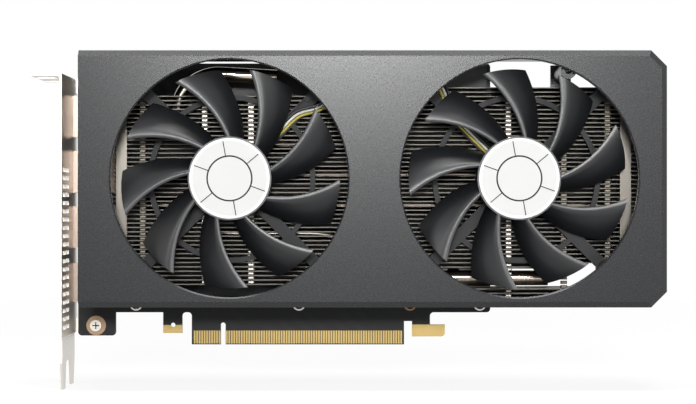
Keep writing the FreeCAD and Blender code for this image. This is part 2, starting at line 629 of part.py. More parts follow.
def bracket():
    """The two-slot bracket: plate, windows, vents, stepped foot with two tongues, flange and board lugs."""
    body = new_body("bracket_body")
    face = sketch_on(body, "YZ_Plane", "bracket_face", BRACKET_OUTER)
    add_rectangle(face, "-bracket_front", "bracket_step", "bracket_rear", "bracket_top")
    pad(body, face, "bracket_sheet", "bracket_plate")

    middle = "(bracket_rear - bracket_front) / 2"
    half = "(slot_pitch + tongue_wide) / 2"
    taper = "tongue_wide / 4"
    foot = sketch_on(body, "YZ_Plane", "bracket_foot_outline", BRACKET_OUTER + " - step_out")
    inner = "(slot_pitch - tongue_wide) / 2"
    add_outline(foot, (
        (f"{middle} - {half}", "bracket_step - step_out"), (f"{middle} - {half}", "-tongue_start"),
        (f"{middle} - {half} + {taper}", "-tongue_tip"), (f"{middle} - {inner} - {taper}", "-tongue_tip"),
        (f"{middle} - {inner}", "-tongue_start"), (f"{middle} + {inner}", "-tongue_start"),
        (f"{middle} + {inner} + {taper}", "-tongue_tip"), (f"{middle} + {half} - {taper}", "-tongue_tip"),
        (f"{middle} + {half}", "-tongue_start"), (f"{middle} + {half}", "bracket_step - step_out"),
    ))
    pad(body, foot, "bracket_sheet", "bracket_foot")

    ramp = sketch_on(body, "XZ_Plane", "bracket_ramp_outline", f"-({middle} + {half})")
    add_outline(ramp, (
        (BRACKET_OUTER, "bracket_step + bracket_sheet / 2"), (BRACKET_INNER, "bracket_step + bracket_sheet / 2"),
        (BRACKET_INNER, "bracket_step"), (BRACKET_INNER + " - step_out", "bracket_step - step_out"),
        (BRACKET_INNER + " - step_out", "bracket_step - step_out - bracket_sheet / 2"),
        (BRACKET_OUTER + " - step_out", "bracket_step - step_out - bracket_sheet / 2"),
        (BRACKET_OUTER + " - step_out", "bracket_step - step_out"), (BRACKET_OUTER, "bracket_step"),
    ))
    pad(body, ramp, "slot_pitch + tongue_wide", "bracket_ramp")

    flange = sketch_on(body, "XY_Plane", "bracket_flange_outline", "bracket_top - bracket_sheet")
    edge = BRACKET_OUTER + " - flange_reach"
    rear_notch = "bracket_rear - notch_inset"
    front_notch = f"{rear_notch} - slot_pitch"
    throat = BRACKET_OUTER + " - flange_reach / 2 + flange_notch / 2"
    add_outline(flange, (
        (BRACKET_OUTER, "bracket_rear"), (edge, "bracket_rear"),
        (edge, f"{rear_notch} + flange_notch / 2"), (throat, f"{rear_notch} + flange_notch / 2"),
        (throat, f"{rear_notch} - flange_notch / 2"), (edge, f"{rear_notch} - flange_notch / 2"),
        (edge, f"{front_notch} + flange_notch / 2"), (throat, f"{front_notch} + flange_notch / 2"),
        (throat, f"{front_notch} - flange_notch / 2"), (edge, f"{front_notch} - flange_notch / 2"),
        (edge, "-bracket_front"), (BRACKET_OUTER, "-bracket_front"),
    ))
    pad(body, flange, "bracket_sheet", "bracket_flange")

    lugs = sketch_on(body, "XZ_Plane", "bracket_lug_outline", "-(board_thick + bracket_sheet)")
    for high in ("lug_screw_low", "lug_screw_top"):
        add_rectangle(lugs, BRACKET_INNER, f"{high} - lug_high / 2",
                      BRACKET_INNER + " + lug_long", f"{high} + lug_high / 2")
    pad(body, lugs, "bracket_sheet", "bracket_lugs")
    threads = sketch_on(body, "XZ_Plane", "bracket_thread_circles", "-board_thick")
    for high in ("lug_screw_low", "lug_screw_top"):
        add_circle(threads, "-lug_screw_reach", high, "screw_radius")
    pocket(body, threads, "bracket_sheet", "bracket_threads")

    windows = sketch_on(body, "YZ_Plane", "bracket_window_outlines", BRACKET_INNER)
    widths = [(high, "socket_wide") for high in SOCKET_HEIGHTS] + [(MEDIA_HEIGHT, "media_wide")]
    for high, wide in widths:
        add_rectangle(windows, "-(socket_high + window_gap)", f"{high} - {wide} / 2 - window_gap",
                      "window_gap", f"{high} + {wide} / 2 + window_gap")
    pocket(body, windows, "bracket_sheet", "bracket_windows")

    vents = sketch_on(body, "YZ_Plane", "bracket_vent_outlines", BRACKET_INNER)
    for column in ("-bracket_front + vent_inset", "-bracket_front + vent_inset + vent_long + vent_gap"):
        add_rectangle(vents, column, "vent_low", f"{column} + vent_long", "vent_low + vent_high")
    vent_cut = pocket(body, vents, "bracket_sheet", "bracket_vents")
    row = pattern_row(body, [vent_cut], "Z_Axis", "(vent_count - 1) * vent_pitch", count("vent_count"),
                      "bracket_vent_rows")
    row.setExpression("Occurrences", "sizes.vent_count")
    return subpart(body, "bracket")


def socket_shell(name, high, wide):
    """A socket's steel shell, open towards the outside."""
    outer = box(name + "_outer", BRACKET_OUTER, "-socket_high", f"{high} - {wide} / 2",
                "socket_deep", "socket_high", wide)
    inner = box(name + "_inner", BRACKET_OUTER + " - 1", "-(socket_high - socket_wall)",
                f"{high} - {wide} / 2 + socket_wall", "socket_deep - socket_wall + 1",
                "socket_high - 2 * socket_wall", f"{wide} - 2 * socket_wall")
    return cut(name, outer, inner)


def socket_tongue(name, high, wide):
    """A socket's contact tongue on its block at the back of the shell."""
    block = box(name + "_block", BRACKET_OUTER + " + socket_deep - socket_wall - block_deep",
                "-(socket_high - socket_wall)", f"{high} - {wide} / 2 + socket_wall",
                "block_deep", "socket_high - 2 * socket_wall", f"{wide} - 2 * socket_wall")
    blade = box(name + "_blade", BRACKET_OUTER + " + tongue_drop", "-(socket_high + tongue_thick) / 2",
                f"{high} - {wide} / 2 + tongue_side", "socket_deep - socket_wall - block_deep",
                "tongue_thick", f"{wide} - 2 * tongue_side")
    return fuse(name, [block, blade])


def sockets():
    """Three display sockets and the media socket below them."""
    shells = []
    tongues = []
    for number, high in enumerate(SOCKET_HEIGHTS, start=1):
        shells.append(socket_shell(f"display_shell_{number}", high, "socket_wide"))
        tongues.append(socket_tongue(f"display_tongue_{number}", high, "socket_wide"))
    subpart(group("display_shells", shells), "display_sockets")
    subpart(group("display_tongues", tongues), "display_socket_tongues")
    subpart(socket_shell("media_shell", MEDIA_HEIGHT, "media_wide"), "media_socket")
    subpart(socket_tongue("media_tongue", MEDIA_HEIGHT, "media_wide"), "media_socket_tongue")


# ---------------------------------------------------------------- screws

def cross_screw(name, x, depth, z, length, forward, radius="screw_radius"):
    """A pan-head cross-recess screw: its head's seat is at a depth, and its shank runs on from there.

    forward tells whether the shank runs towards the fans; the head then lies behind the seat.
    """
    ahead = Vector(0, -1, 0) if forward else Vector(0, 1, 0)
    behind = Vector(0, 1, 0) if forward else Vector(0, -1, 0)
    seat = f"-({depth})"
    head = rod(name + "_head", x, seat, z, "head_radius", "head_high", behind)
    shank = rod(name + "_shank", x, seat, z, radius, length, ahead)
    whole = fuse(name + "_blank", [head, shank])
    low = f"{seat} + head_high / 2" if forward else f"{seat} - head_high"
    bar_long = "head_radius * 1.2"
    bars = fuse(name + "_cross", [
        box(name + "_bar_x", f"{x} - {bar_long} / 2", low, f"{z} - cross_wide / 2",
            bar_long, "head_high / 2", "cross_wide"),
        box(name + "_bar_z", f"{x} - cross_wide / 2", low, f"{z} - {bar_long} / 2",
            "cross_wide", "head_high / 2", bar_long),
    ])
    return cut(name, whole, bars)


def bracket_screws():
    """Screws through the board into the bracket's lugs, on copper rings."""
    screws = []
    for number, high in enumerate(("lug_screw_low", "lug_screw_top"), start=1):
        screws.append(cross_screw(f"bracket_screw_{number}", "-lug_screw_reach", "0", high,
                                  "board_thick + bracket_sheet", False))
    subpart(group("bracket_screw_set", screws), "bracket_screws")


# ---------------------------------------------------------------- the shroud

def shroud():
    """The one-piece cover: bevelled face, walls on three sides, fan openings, bosses and ribbed posts."""
    body = new_body("shroud_body")
    corner = "shroud_corner"
    outline = sketch_on(body, "XZ_Plane", "shroud_outline", "shroud_rear")
    add_outline(outline, (
        ("-shroud_left", SHROUD_FOOT), (f"shroud_right - {corner}", SHROUD_FOOT),
        ("shroud_right", f"{SHROUD_FOOT} + {corner}"), ("shroud_right", f"{SHROUD_TOP} - {corner}"),
        (f"shroud_right - {corner}", SHROUD_TOP), ("-shroud_left", SHROUD_TOP),
    ))
    pad(body, outline, "shroud_front - shroud_rear", "shroud_block")
    face_y = -size("shroud_front")
    rim = edges_where(body, lambda edge, middle: abs(middle.y - face_y) < 0.01
                      and middle.x > -size("shroud_left") + 0.01)
    dress(body, "Chamfer", rim, "shroud_bevel", "shroud_face_bevel")

    inner_corner = "(shroud_corner - shroud_wall * (2 - sqrt(2)))"
    hollow = sketch_on(body, "XZ_Plane", "shroud_hollow_outline", "shroud_front - shroud_wall")
    low = SHROUD_FOOT + " + shroud_wall"
    high = SHROUD_TOP + " - shroud_wall"
    right = "shroud_right - shroud_wall"
    add_outline(hollow, (
        ("-shroud_left - 1", low), (f"{right} - {inner_corner}", low),
        (right, f"{low} + {inner_corner}"), (right, f"{high} - {inner_corner}"),
        (f"{right} - {inner_corner}", high), ("-shroud_left - 1", high),
    ))
    pocket(body, hollow, "shroud_front", "shroud_hollow")

    bosses = sketch_on(body, "XZ_Plane", "fan_boss_circles", "frame_front")
    for _, reach in FANS:
        for quarter in QUARTERS:
            x = f"{reach} + ear_reach * cos({quarter} deg)"
            z = f"fan_height + ear_reach * sin({quarter} deg)"
            add_circle(bosses, x, z, "boss_radius")
            add_circle(bosses, x, z, "screw_radius")
    pad(body, bosses, "shroud_front - shroud_wall / 2 - frame_front", "fan_bosses")

    for number, (x, z, seat) in enumerate(SHROUD_BOSSES, start=1):
        post = sketch_on(body, "XZ_Plane", f"cooler_post_{number}_circles", f"{seat} + rail_sheet")
        add_circle(post, x, z, "boss_radius")
        add_circle(post, x, z, "screw_radius")
        pad(body, post, f"shroud_front - shroud_wall - ({seat}) - rail_sheet", f"cooler_post_{number}")
    for number, (x, z, seat) in enumerate(SHROUD_BOSSES, start=1):
        if seat == "fin_rear":
            rib = sketch_on(body, "XZ_Plane", f"post_rib_{number}_outline", f"{seat} + rail_sheet")
            add_rectangle(rib, f"{x} - rib_wide / 2", f"{z} + (screw_radius + boss_radius) / 2",
                          f"{x} + rib_wide / 2", SHROUD_TOP + " - shroud_wall / 2")
            pad(body, rib, f"shroud_front - shroud_wall - ({seat}) - rail_sheet", f"post_rib_{number}")

    openings = sketch_on(body, "XZ_Plane", "fan_opening_circles", "shroud_front + 1")
    for _, reach in FANS:
        add_circle(openings, reach, "fan_height", "opening_radius")
    pocket(body, openings, "shroud_wall + 2", "fan_openings")
    lips = edges_where(body, lambda edge, middle: abs(middle.y - face_y) < 0.01
                       and isinstance(edge.Curve, Part.Circle)
                       and edge.Curve.Radius > size("opening_radius") - 1)
    dress(body, "Chamfer", lips, "opening_bevel", "fan_opening_lips")

    socket_gap = sketch_on(body, "XY_Plane", "power_gap_outline", SHROUD_TOP + " + 1")
    add_rectangle(socket_gap, POWER_LEFT + " - power_gap", "-(2 * power_pitch + 2 * power_wall + power_gap)",
                  "power_right + power_gap", "0")
    pocket(body, socket_gap, "shroud_wall + 1", "power_gap_cut")
    return subpart(body, "shroud")


# ---------------------------------------------------------------- the fans

def blade_section(radius, share):
    """A blade's closed section on the plane that faces out at a radius; share runs 0 at the hub to 1."""
    span = math.radians(size("blade_span") + size("blade_widen") * share)
    front = math.radians(size("blade_sweep")) * share ** 0.9
    chord = span * radius
    half = size("blade_thick") / 2
    camber = size("blade_camber")
    middle_turn = front - span / 2
    outward = Vector(math.cos(middle_turn), 0, math.sin(middle_turn))
    sideways = Vector(-math.sin(middle_turn), 0, math.cos(middle_turn))
    steps = (0.0, 0.12, 0.35, 0.65, 0.88, 1.0)
    rise = size("blade_front") - size("blade_rear")

    def point(step, side):
        """A point of the section: step 0 is the leading edge, and side is -1 rear or 1 front."""
        along = chord * (0.5 - step)
        depth = size("blade_front") - rise * step + camber * math.sin(math.pi * step)
        skin = side * half * (0.35 + 0.65 * math.sin(math.pi * step) ** 0.5)
        lean = math.atan2(rise, chord)
        along -= skin * math.sin(lean)
        depth += skin * math.cos(lean) - (half if step == 0.0 else 0)
        return outward * radius + sideways * along + Vector(0, -depth, 0)

    front_side = Part.BSplineCurve()
    front_side.interpolate([point(step, 1) for step in steps])
    rear_side = Part.BSplineCurve()
    rear_side.interpolate([point(step, -1) for step in reversed(steps)])
    nose = Part.LineSegment(point(0.0, -1), point(0.0, 1))
    tail = Part.LineSegment(point(1.0, 1), point(1.0, -1))
    return Part.Wire([front_side.toShape(), tail.toShape(), rear_side.toShape(), nose.toShape()])


def rotor(label, reach):
    """A fan's hub and blades: an open cup with a shaft boss, and blades that sweep forward."""
    hub_radius = size("hub_radius")
    tip = size("tip_radius")
    front = size("hub_front")
    cap = size("hub_wall")
    ahead = Vector(0, -1, 0)
    cup = Part.makeCylinder(hub_radius, front - size("hub_rear"), Vector(0, -size("hub_rear"), 0), ahead)
    bore = Part.makeCylinder(hub_radius - cap, front - cap - size("hub_rear"),
                             Vector(0, -size("hub_rear"), 0), ahead)
    cup = cup.cut(bore)
    seat = Part.makeCylinder(size("shaft_radius") + cap, size("shaft_seat") + cap / 2,
                             Vector(0, -(front - cap - size("shaft_seat")), 0), ahead)
    shaft_hole = Part.makeCylinder(size("shaft_radius"), size("shaft_seat"),
                                   Vector(0, -(front - cap - size("shaft_seat")), 0), ahead)
    cup = cup.fuse(seat).cut(shaft_hole)

    inner = hub_radius - cap / 2
    outer = tip + 2
    radii = [inner + (outer - inner) * n / 5 for n in range(6)]
    sections = [blade_section(radius, (radius - inner) / (tip - inner)) for radius in radii]
    blade = Part.makeLoft(sections, True, False)
    trim = Part.makeCylinder(tip, front, Vector(), ahead)
    core = Part.makeCylinder(hub_radius - cap / 2, front, Vector(), ahead)
    blade = blade.common(trim).cut(core)
    blades = []
    for number in range(count("blade_count")):
        turn = size(f"{label}_fan_turn") - size("blade_sweep") + 360.0 * number / count("blade_count")
        copy = blade.copy()
        # A turn that runs counter-clockwise from the front is negative about +Y.
        copy.rotate(Vector(), Vector(0, 1, 0), -turn)
        blades.append(copy)
    whole = cup.multiFuse(blades).removeSplitter()
    return subpart(place(made(f"rotor_{label}_shape", whole), reach, "0", "fan_height"), f"rotor_{label}")


def round_sleeve(name, reach, start, outer, bore, length):
    """A sleeve on a fan's axis, from a start depth forward."""
    body = rod(name + "_outer", reach, f"-({start})", "fan_height", outer, length)
    hole = rod(name + "_bore", reach, f"-({start})", "fan_height", bore, length)
    return cut(name, body, hole)


def fan_inside(label, reach):
    """What turns with the hub and the bearing that it turns in; gives back the drive board."""
    cap_inside = "hub_front - hub_wall"
    subpart(rod(f"disc_{label}", reach, "-hub_front", "fan_height", "disc_radius", "disc_thick"),
            f"hub_disc_{label}")
    subpart(rod(f"spindle_{label}", reach, "-(frame_front + end_gap)", "fan_height", "shaft_radius",
                f"{cap_inside} - frame_front - end_gap"), f"shaft_{label}")
    subpart(round_sleeve(f"magnet_{label}", reach, "hub_rear + end_gap", "hub_radius - hub_wall",
                         "hub_radius - hub_wall - magnet_thick", "magnet_long"), f"magnet_ring_{label}")
    bearing_long = f"{cap_inside} - shaft_seat - end_gap - frame_front"
    subpart(round_sleeve(f"sleeve_{label}", reach, "frame_front", "bearing_radius",
                         "shaft_radius + shaft_gap", bearing_long), f"bearing_{label}")
    return round_sleeve(f"drive_{label}", reach, "frame_front", "drive_radius",
                        "bearing_radius + post_wall", "drive_thick")


def stator(label, reach):
    """The stator's steel poles and the copper coils round them."""
    post = size("bearing_radius") + size("post_wall")
    outer = size("hub_radius") - size("hub_wall") - size("magnet_thick") - size("air_gap")
    start = size("frame_front") + size("drive_thick") + 2 * size("end_gap")
    length = size("stator_long")
    rim_thick = size("stator_rim")
    side = size("coil_side")
    lip = size("coil_lip")
    wide = size("pole_wide")
    poles = count("pole_count")
    ahead = Vector(0, -1, 0)
    base = Vector(0, -start, 0)
    core = Part.makeCylinder(post + rim_thick, length, base, ahead)
    rim = Part.makeCylinder(outer, length, base, ahead)
    rim = rim.cut(Part.makeCylinder(outer - rim_thick, length, base, ahead))
    inner = post + rim_thick + lip
    coil_long = outer - rim_thick - lip - inner
    slit_wide = rim_thick
    bars = []
    coils = []
    slits = []
    for number in range(poles):
        bar = Part.makeBox(outer - rim_thick / 2, length, wide, Vector(0, -start - length, -wide / 2))
        sleeve = Part.makeBox(coil_long, length + 2 * lip, wide + 2 * side,
                              Vector(inner, -start - length - lip, -wide / 2 - side))
        well = Part.makeBox(coil_long, length, wide, Vector(inner, -start - length, -wide / 2))
        coil = sleeve.cut(well)
        slit = Part.makeBox(2 * rim_thick, length, slit_wide,
                            Vector(outer - 1.5 * rim_thick, -start - length, -slit_wide / 2))
        slit.rotate(Vector(), Vector(0, 1, 0), 180.0 / poles)
        for piece, pieces in ((bar, bars), (coil, coils), (slit, slits)):
            piece.rotate(Vector(), Vector(0, 1, 0), 360.0 * number / poles)
            pieces.append(piece)
    steel = core.multiFuse([rim] + bars)
    steel = steel.cut([Part.makeCylinder(post, length, base, ahead)] + slits)
    subpart(place(made(f"stator_{label}_steel", steel.removeSplitter()), reach, "0", "fan_height"),
            f"stator_{label}")
    subpart(place(made(f"coils_{label}_copper", Part.makeCompound(coils)), reach, "0", "fan_height"),
            f"stator_coils_{label}")


def fan_frame(label, reach, turn):
    """A fan's static frame: cup floor, bearing post, ring, four arms with ears and a lead channel."""
    body = new_body(f"fan_frame_{label}_body")
    plane = "frame_front - frame_thick"
    floor = sketch_on(body, "XZ_Plane", f"frame_floor_{label}", plane)
    add_circle(floor, "0", "0", "hub_radius")
    pad(body, floor, "frame_thick", f"frame_floor_pad_{label}")

    arm = sketch_on(body, "XZ_Plane", f"frame_arm_{label}", plane)
    add_rectangle(arm, "hub_radius - 1", "-arm_wide / 2", "ear_reach", "arm_wide / 2")
    arm_pad = pad(body, arm, "frame_thick", f"frame_arm_pad_{label}")
    ear = sketch_on(body, "XZ_Plane", f"frame_ear_{label}", plane)
    add_circle(ear, "ear_reach", "0", "ear_radius")
    ear_pad = pad(body, ear, "frame_thick", f"frame_ear_pad_{label}")
    hole = sketch_on(body, "XZ_Plane", f"frame_hole_{label}", "frame_front")
    add_circle(hole, "ear_reach", "0", "screw_radius + window_gap")
    hole_cut = pocket(body, hole, "frame_thick", f"frame_hole_cut_{label}")
    pattern_round(body, [arm_pad, ear_pad, hole_cut], "Y_Axis", len(QUARTERS), f"frame_arms_{label}")

    ring = sketch_on(body, "XZ_Plane", f"frame_ring_{label}", plane)
    add_circle(ring, "0", "0", "ring_radius")
    add_circle(ring, "0", "0", "ring_radius - ring_wide")
    pad(body, ring, "frame_thick", f"frame_ring_pad_{label}")

    post = sketch_on(body, "XZ_Plane", f"frame_post_{label}", "frame_front - frame_thick / 2")
    add_circle(post, "0", "0", "bearing_radius + post_wall")
    pad(body, post, "hub_front - hub_wall - shaft_seat - 2 * end_gap - frame_front + frame_thick / 2",
        f"frame_post_pad_{label}")
    bore = sketch_on(body, "XZ_Plane", f"frame_bore_{label}", "hub_front")
    add_circle(bore, "0", "0", "bearing_radius")
    pocket(body, bore, "hub_front - frame_front", f"frame_bore_cut_{label}")

    channel = sketch_on(body, "XZ_Plane", f"lead_channel_{label}", "frame_front")
    add_rectangle(channel, "drive_radius - 3", "-channel_wide / 2", "ring_radius + 9", "channel_wide / 2")
    pocket(body, channel, "channel_deep", f"lead_channel_cut_{label}")
    exit_gap = sketch_on(body, "XZ_Plane", f"lead_exit_{label}", "frame_front")
    add_rectangle(exit_gap, "ring_radius + window_gap", "-arm_wide", "ear_reach - ear_radius - 1", "0")
    pocket(body, exit_gap, "channel_deep", f"lead_exit_cut_{label}")
    body.Placement = Placement(Vector(), Rotation(Vector(0, 1, 0), -turn))
    return subpart(place(body, reach, "0", "fan_height"), f"fan_frame_{label}")


def fan_leads(label, reach, side):
    """Three leads in the arm's channel, round the ear and down to the fan's plug, side by side."""
    centre_x = size("fan_reach") + (size("fan_spacing") if label == "right" else 0)
    header_x = size("header_reach") - side * size("header_offset")
    plug_x = header_x - side * (size("header_long") / 2 + size("plug_long"))
    end = side * (plug_x - centre_x)
    top = size("header_height") - size("fan_height")
    slant = math.sqrt(0.5)
    floor = size("frame_front") - size("channel_deep") + size("lead_radius") + 0.05
    last = size("header_high") / 2
    # Each point: across, up, depth, and the direction in which the three leads lie side by side.
    route = [(9.5 * slant, 9.5 * slant, floor, (-slant, 0, slant))]
    if label == "left":
        route += [
            (25.5, 25.5, floor, (-0.5, 0, 0.92)),
            (32.6, 26.9, floor + 0.2, (-0.28, 0, 0.92)),
            (40.8, 31.4, floor - 0.1, (-0.69, 0, 0.94)),
            (42.3, 39.0, 22.4, (-1.34, -0.06, 0.05)),
            (end - 3.0, 42.0, 13.5, (-0.55, -0.09, 0.88)),
            (end - 9.0, top, 6.5, (0, 0, 1)),
        ]
    else:
        route += [
            (25.5, 25.5, floor, (-0.9, 0, 0.52)),
            (28.2, 36.0, floor, (-1.1, 0, 0.5)),
            (end - 9.5, top - 0.6, 17.5, (-0.41, 0.17, 1.08)),
            (end - 7.0, top, 6.5, (0, 0, 1)),
        ]
    route += [(end - 5.0, top, last, (0, 0, 1)), (end, top, last, (0, 0, 1))]
    leads = {}
    for number, colour in enumerate(LEAD_COLOURS):
        shift = (number - 1) * size("lead_pitch")
        points = []
        for across, up, depth, (lie_x, lie_y, lie_z) in route:
            points.append(Vector(centre_x + side * (across + shift * lie_x), -depth + shift * lie_y,
                                 size("fan_height") + up + shift * lie_z))
        leads[colour] = tube(points, size("lead_radius"))
    return leads


def fan_plugs():
    """The two fan headers on the board, and the plugs in their outer sides."""
    headers = []
    plugs = []
    for label, side in (("left", 1), ("right", -1)):
        middle = f"header_reach - ({side}) * header_offset"
        headers.append(box(f"header_{label}", f"{middle} - header_long / 2", "-header_high",
                           "header_height - header_wide / 2", "header_long", "header_high", "header_wide"))
        start = f"{middle} - header_long / 2 - plug_long" if side > 0 else f"{middle} + header_long / 2"
        plugs.append(box(f"plug_{label}", start, "-(header_high - end_gap)",
                         "header_height - header_wide / 2 + end_gap", "plug_long", "header_high - end_gap",
                         "header_wide - 2 * end_gap"))
    subpart(group("plug_pair", plugs), "fan_plugs")
    subpart(group("header_pair", headers), "fan_headers")


def fan_screws():
    """Screws through the fan frames' ears into the shroud's bosses."""
    screws = []
    for label, reach in FANS:
        for quarter in QUARTERS:
            screws.append(cross_screw(f"fan_screw_{label}_{quarter}",
                                      f"{reach} + ear_reach * cos({quarter} deg)",
                                      "frame_front - frame_thick",
                                      f"fan_height + ear_reach * sin({quarter} deg)",
                                      "frame_thick + screw_bite", True))
    subpart(group("fan_screw_set", screws), "fan_screws")


# ---------------------------------------------------------------- the cooler

def pipe_routes():
    """The middle lines of the four heat pipes, as X and Z places."""
    block_left = size("gpu_reach") - size("block_side") / 2
    block_right = size("gpu_reach") + size("block_side") / 2
    gap_middle = (size("near_fin_right") + size("far_fin_left")) / 2
    fan_height = size("fan_height")
    gpu_height = size("gpu_height")
    low = gpu_height - size("low_pipe_down")
    drop = fan_height - size("low_pipe_drop")
    mid = gpu_height - size("mid_pipe_down")
    high = gpu_height + size("top_pipe_up")
    rise = fan_height + size("top_pipe_rise")
    inset = size("pipe_inset")
    bend = size("pipe_bend")
    turn_x = block_left - size("top_pipe_out")
    near_end = size("pipe_end_gap") - size("near_fin_left")
    far_end = size("far_fin_right") - size("pipe_end_gap")
    return {
        "lower": ((block_left + inset, low), (block_right - bend, low),
                  (gap_middle, (low + drop) / 2 - size("pipe_radius") / 2),
                  (gap_middle + 1.5 * bend, drop), (size("low_pipe_end"), drop)),
        "middle_1": ((near_end, mid), (far_end, mid)),
        "middle_2": ((near_end, mid + size("mid_pipe_spacing")), (far_end, mid + size("mid_pipe_spacing"))),
        "upper": ((block_right - inset, high), (block_left + 0.7 * bend, high), (turn_x, high + 0.7 * bend),
                  (turn_x, rise - 0.7 * bend), (turn_x + bend, rise),
                  (turn_x + size("top_pipe_long"), rise - size("pipe_radius") / 2)),
    }


def pipe_solids(radius):
    """The heat pipes' solids at a given radius, by name."""
    depth = size("plate_front") + size("pipe_web") + size("pipe_radius")
    return {name: tube([Vector(x, -depth, z) for x, z in route], radius)
            for name, route in pipe_routes().items()}


def heat_pipes(solids):
    """The upper and lower pipes, and the two straight ones between them."""
    subpart(made("pipe_upper", solids["upper"]), "heat_pipe_upper")
    subpart(made("pipe_lower", solids["lower"]), "heat_pipe_lower")
    middle = Part.makeCompound([solids["middle_1"], solids["middle_2"]])
    subpart(made("pipes_middle", middle), "heat_pipes_middle")


def block_of(left, right, near_depth, far_depth, low, high):
    """A plain block between two X places, two depths and two heights."""
    return Part.makeBox(right - left, far_depth - near_depth, high - low, Vector(left, -far_depth, low))


def fins(name, left, right, low, number, tools):
    """A stack of level fins with notches for what lies against them."""
    rear = size("fin_rear")
    front = size("fin_front")
    sheets = []
    for step in range(number):
        base = low + step * size("fin_pitch")
        plate = block_of(left, right, rear, front, base, base + size("fin_thick"))
        if step < number - 1:
            plate = plate.fuse(block_of(left, right, rear, rear + size("fin_fold"), base,
                                        base + size("fin_pitch")))
        near = [tool for tool in tools if tool.BoundBox.intersect(plate.BoundBox)]
        if near:
            plate = plate.cut(near)
        sheets.extend(plate.Solids)
    return subpart(made(name + "_plates", Part.makeCompound(sheets)), name)


def fin_stacks(grooves):
    """The near and far stacks, notched for the pipes, the rails, the fan screws and the power socket."""
    notch = size("head_radius") + 0.7
    deep = size("head_high") + 0.5
    front = size("fin_front")
    wells = []
    for x in (size("fan_reach"), size("fan_reach") + size("fan_spacing")):
        for quarter in QUARTERS:
            turn = math.radians(quarter)
            middle = Vector(x + size("ear_reach") * math.cos(turn), -(front - deep),
                            size("fan_height") + size("ear_reach") * math.sin(turn))
            wells.append(Part.makeCylinder(notch, deep, middle, Vector(0, -1, 0)))
    sheet_thick = size("rail_sheet")
    left = -(size("near_fin_left") - size("near_rail_inset"))
    right = size("far_fin_right") - size("far_rail_inset") - size("rail_wide")
    top = size("fan_height") + size("shroud_rise")
    rails = [block_of(x, x + size("rail_wide"), front - sheet_thick, front, 0, top) for x in (left, right)]
    gap = size("power_gap") / 2
    power_left = size("power_right") - size("power_columns") * size("power_pitch")
    power = block_of(power_left - gap, size("power_right") + gap, 0,
                     2 * (size("power_pitch") + size("power_wall")) + gap,
                     size("power_top") - size("power_long") - gap, top)
    fan_height = size("fan_height")
    gap_low = fan_height - size("far_gap_drop")
    pipe_high = fan_height - size("low_pipe_drop") + size("pipe_radius") + size("pipe_room")
    far_gaps = [block_of(size("far_gap_left"), size("low_pipe_end") + size("pipe_room"), 0,
                         size("shroud_front"), gap_low, pipe_high),
                block_of(size("low_pipe_end"), size("far_gap_right"), 0, size("shroud_front"), gap_low,
                         fan_height - size("far_gap_rise"))]
    tools = wells + rails + [power] + list(grooves.values())
    fins("fin_stack_near", -size("near_fin_left"), size("near_fin_right"),
         fan_height - size("near_fin_drop"), count("near_fin_count"), tools)
    fins("fin_stack_far", size("far_fin_left"), size("far_fin_right"), fan_height - size("far_fin_drop"),
         count("far_fin_count"), tools + far_gaps)


def rail_strip(name, x, low, high):
    """The part of a side rail that lies in the fins' front notch."""
    return box(name, x, "-fin_front", low, "rail_wide", "rail_sheet", f"{high} - ({low})")


def eared_foot(name, x, wide, edge, reach):
    """A sheet over the fins' upper edge, back from a depth, and an ear that rises at its rear end."""
    return fuse(name + "_blank", [
        box(name + "_sheet", x, f"-({reach})", edge, wide, f"{reach} - fin_rear", "rail_sheet"),
        box(name + "_ear", x, "-(fin_rear + rail_sheet)", edge, wide, "rail_sheet", "ear_rise"),
    ])


def rails():
    """The side rails on the fin stacks' ends, and the far tab, each with its ears."""
    holes = [rod(f"cooler_ear_hole_{number}", x, f"-({seat})", z, "screw_radius + window_gap", "rail_sheet")
             for number, (x, z, seat) in enumerate(SHROUD_BOSSES, start=1)]
    left = fuse("rail_left_blank", [
        rail_strip("rail_left_strip", RAIL_LEFT, SHROUD_FOOT + " + shroud_wall + end_gap", NEAR_FIN_TOP),
        eared_foot("rail_left_top", RAIL_LEFT, "rail_wide", NEAR_FIN_TOP, "fin_front"),
    ])
    subpart(cut("rail_left", cut("rail_left_bored", left, holes[0]), holes[1]), "side_rail_left")
    right = fuse("rail_right_blank", [
        rail_strip("rail_right_strip", RAIL_RIGHT, FAR_FIN_LOW, FAR_FIN_TOP),
        eared_foot("rail_right_top", RAIL_RIGHT, "rail_wide", FAR_FIN_TOP, "fin_front"),
    ])
    subpart(cut("rail_right", right, holes[3]), "side_rail_right")
    tab = eared_foot("tab_top", "tab_boss_reach - tab_wide / 2", "tab_wide", FAR_FIN_TOP,
                     "fin_rear + tab_deep")
    subpart(cut("tab", tab, holes[2]), "cooler_tab")


def cooler_screws():
    """Screws through the cooler's ears into the shroud's posts."""
    screws = [cross_screw(f"cooler_screw_{number}", x, seat, z, "rail_sheet + screw_bite", True)
              for number, (x, z, seat) in enumerate(SHROUD_BOSSES, start=1)]
    subpart(group("cooler_screw_set", screws), "cooler_screws")


def clamp_places():
    """Formulas for the four clamp screws' X and Z."""
    return [(f"gpu_reach {side_x} clamp_offset", f"gpu_height {side_z} clamp_offset")
            for side_x in "-+" for side_z in "-+"]


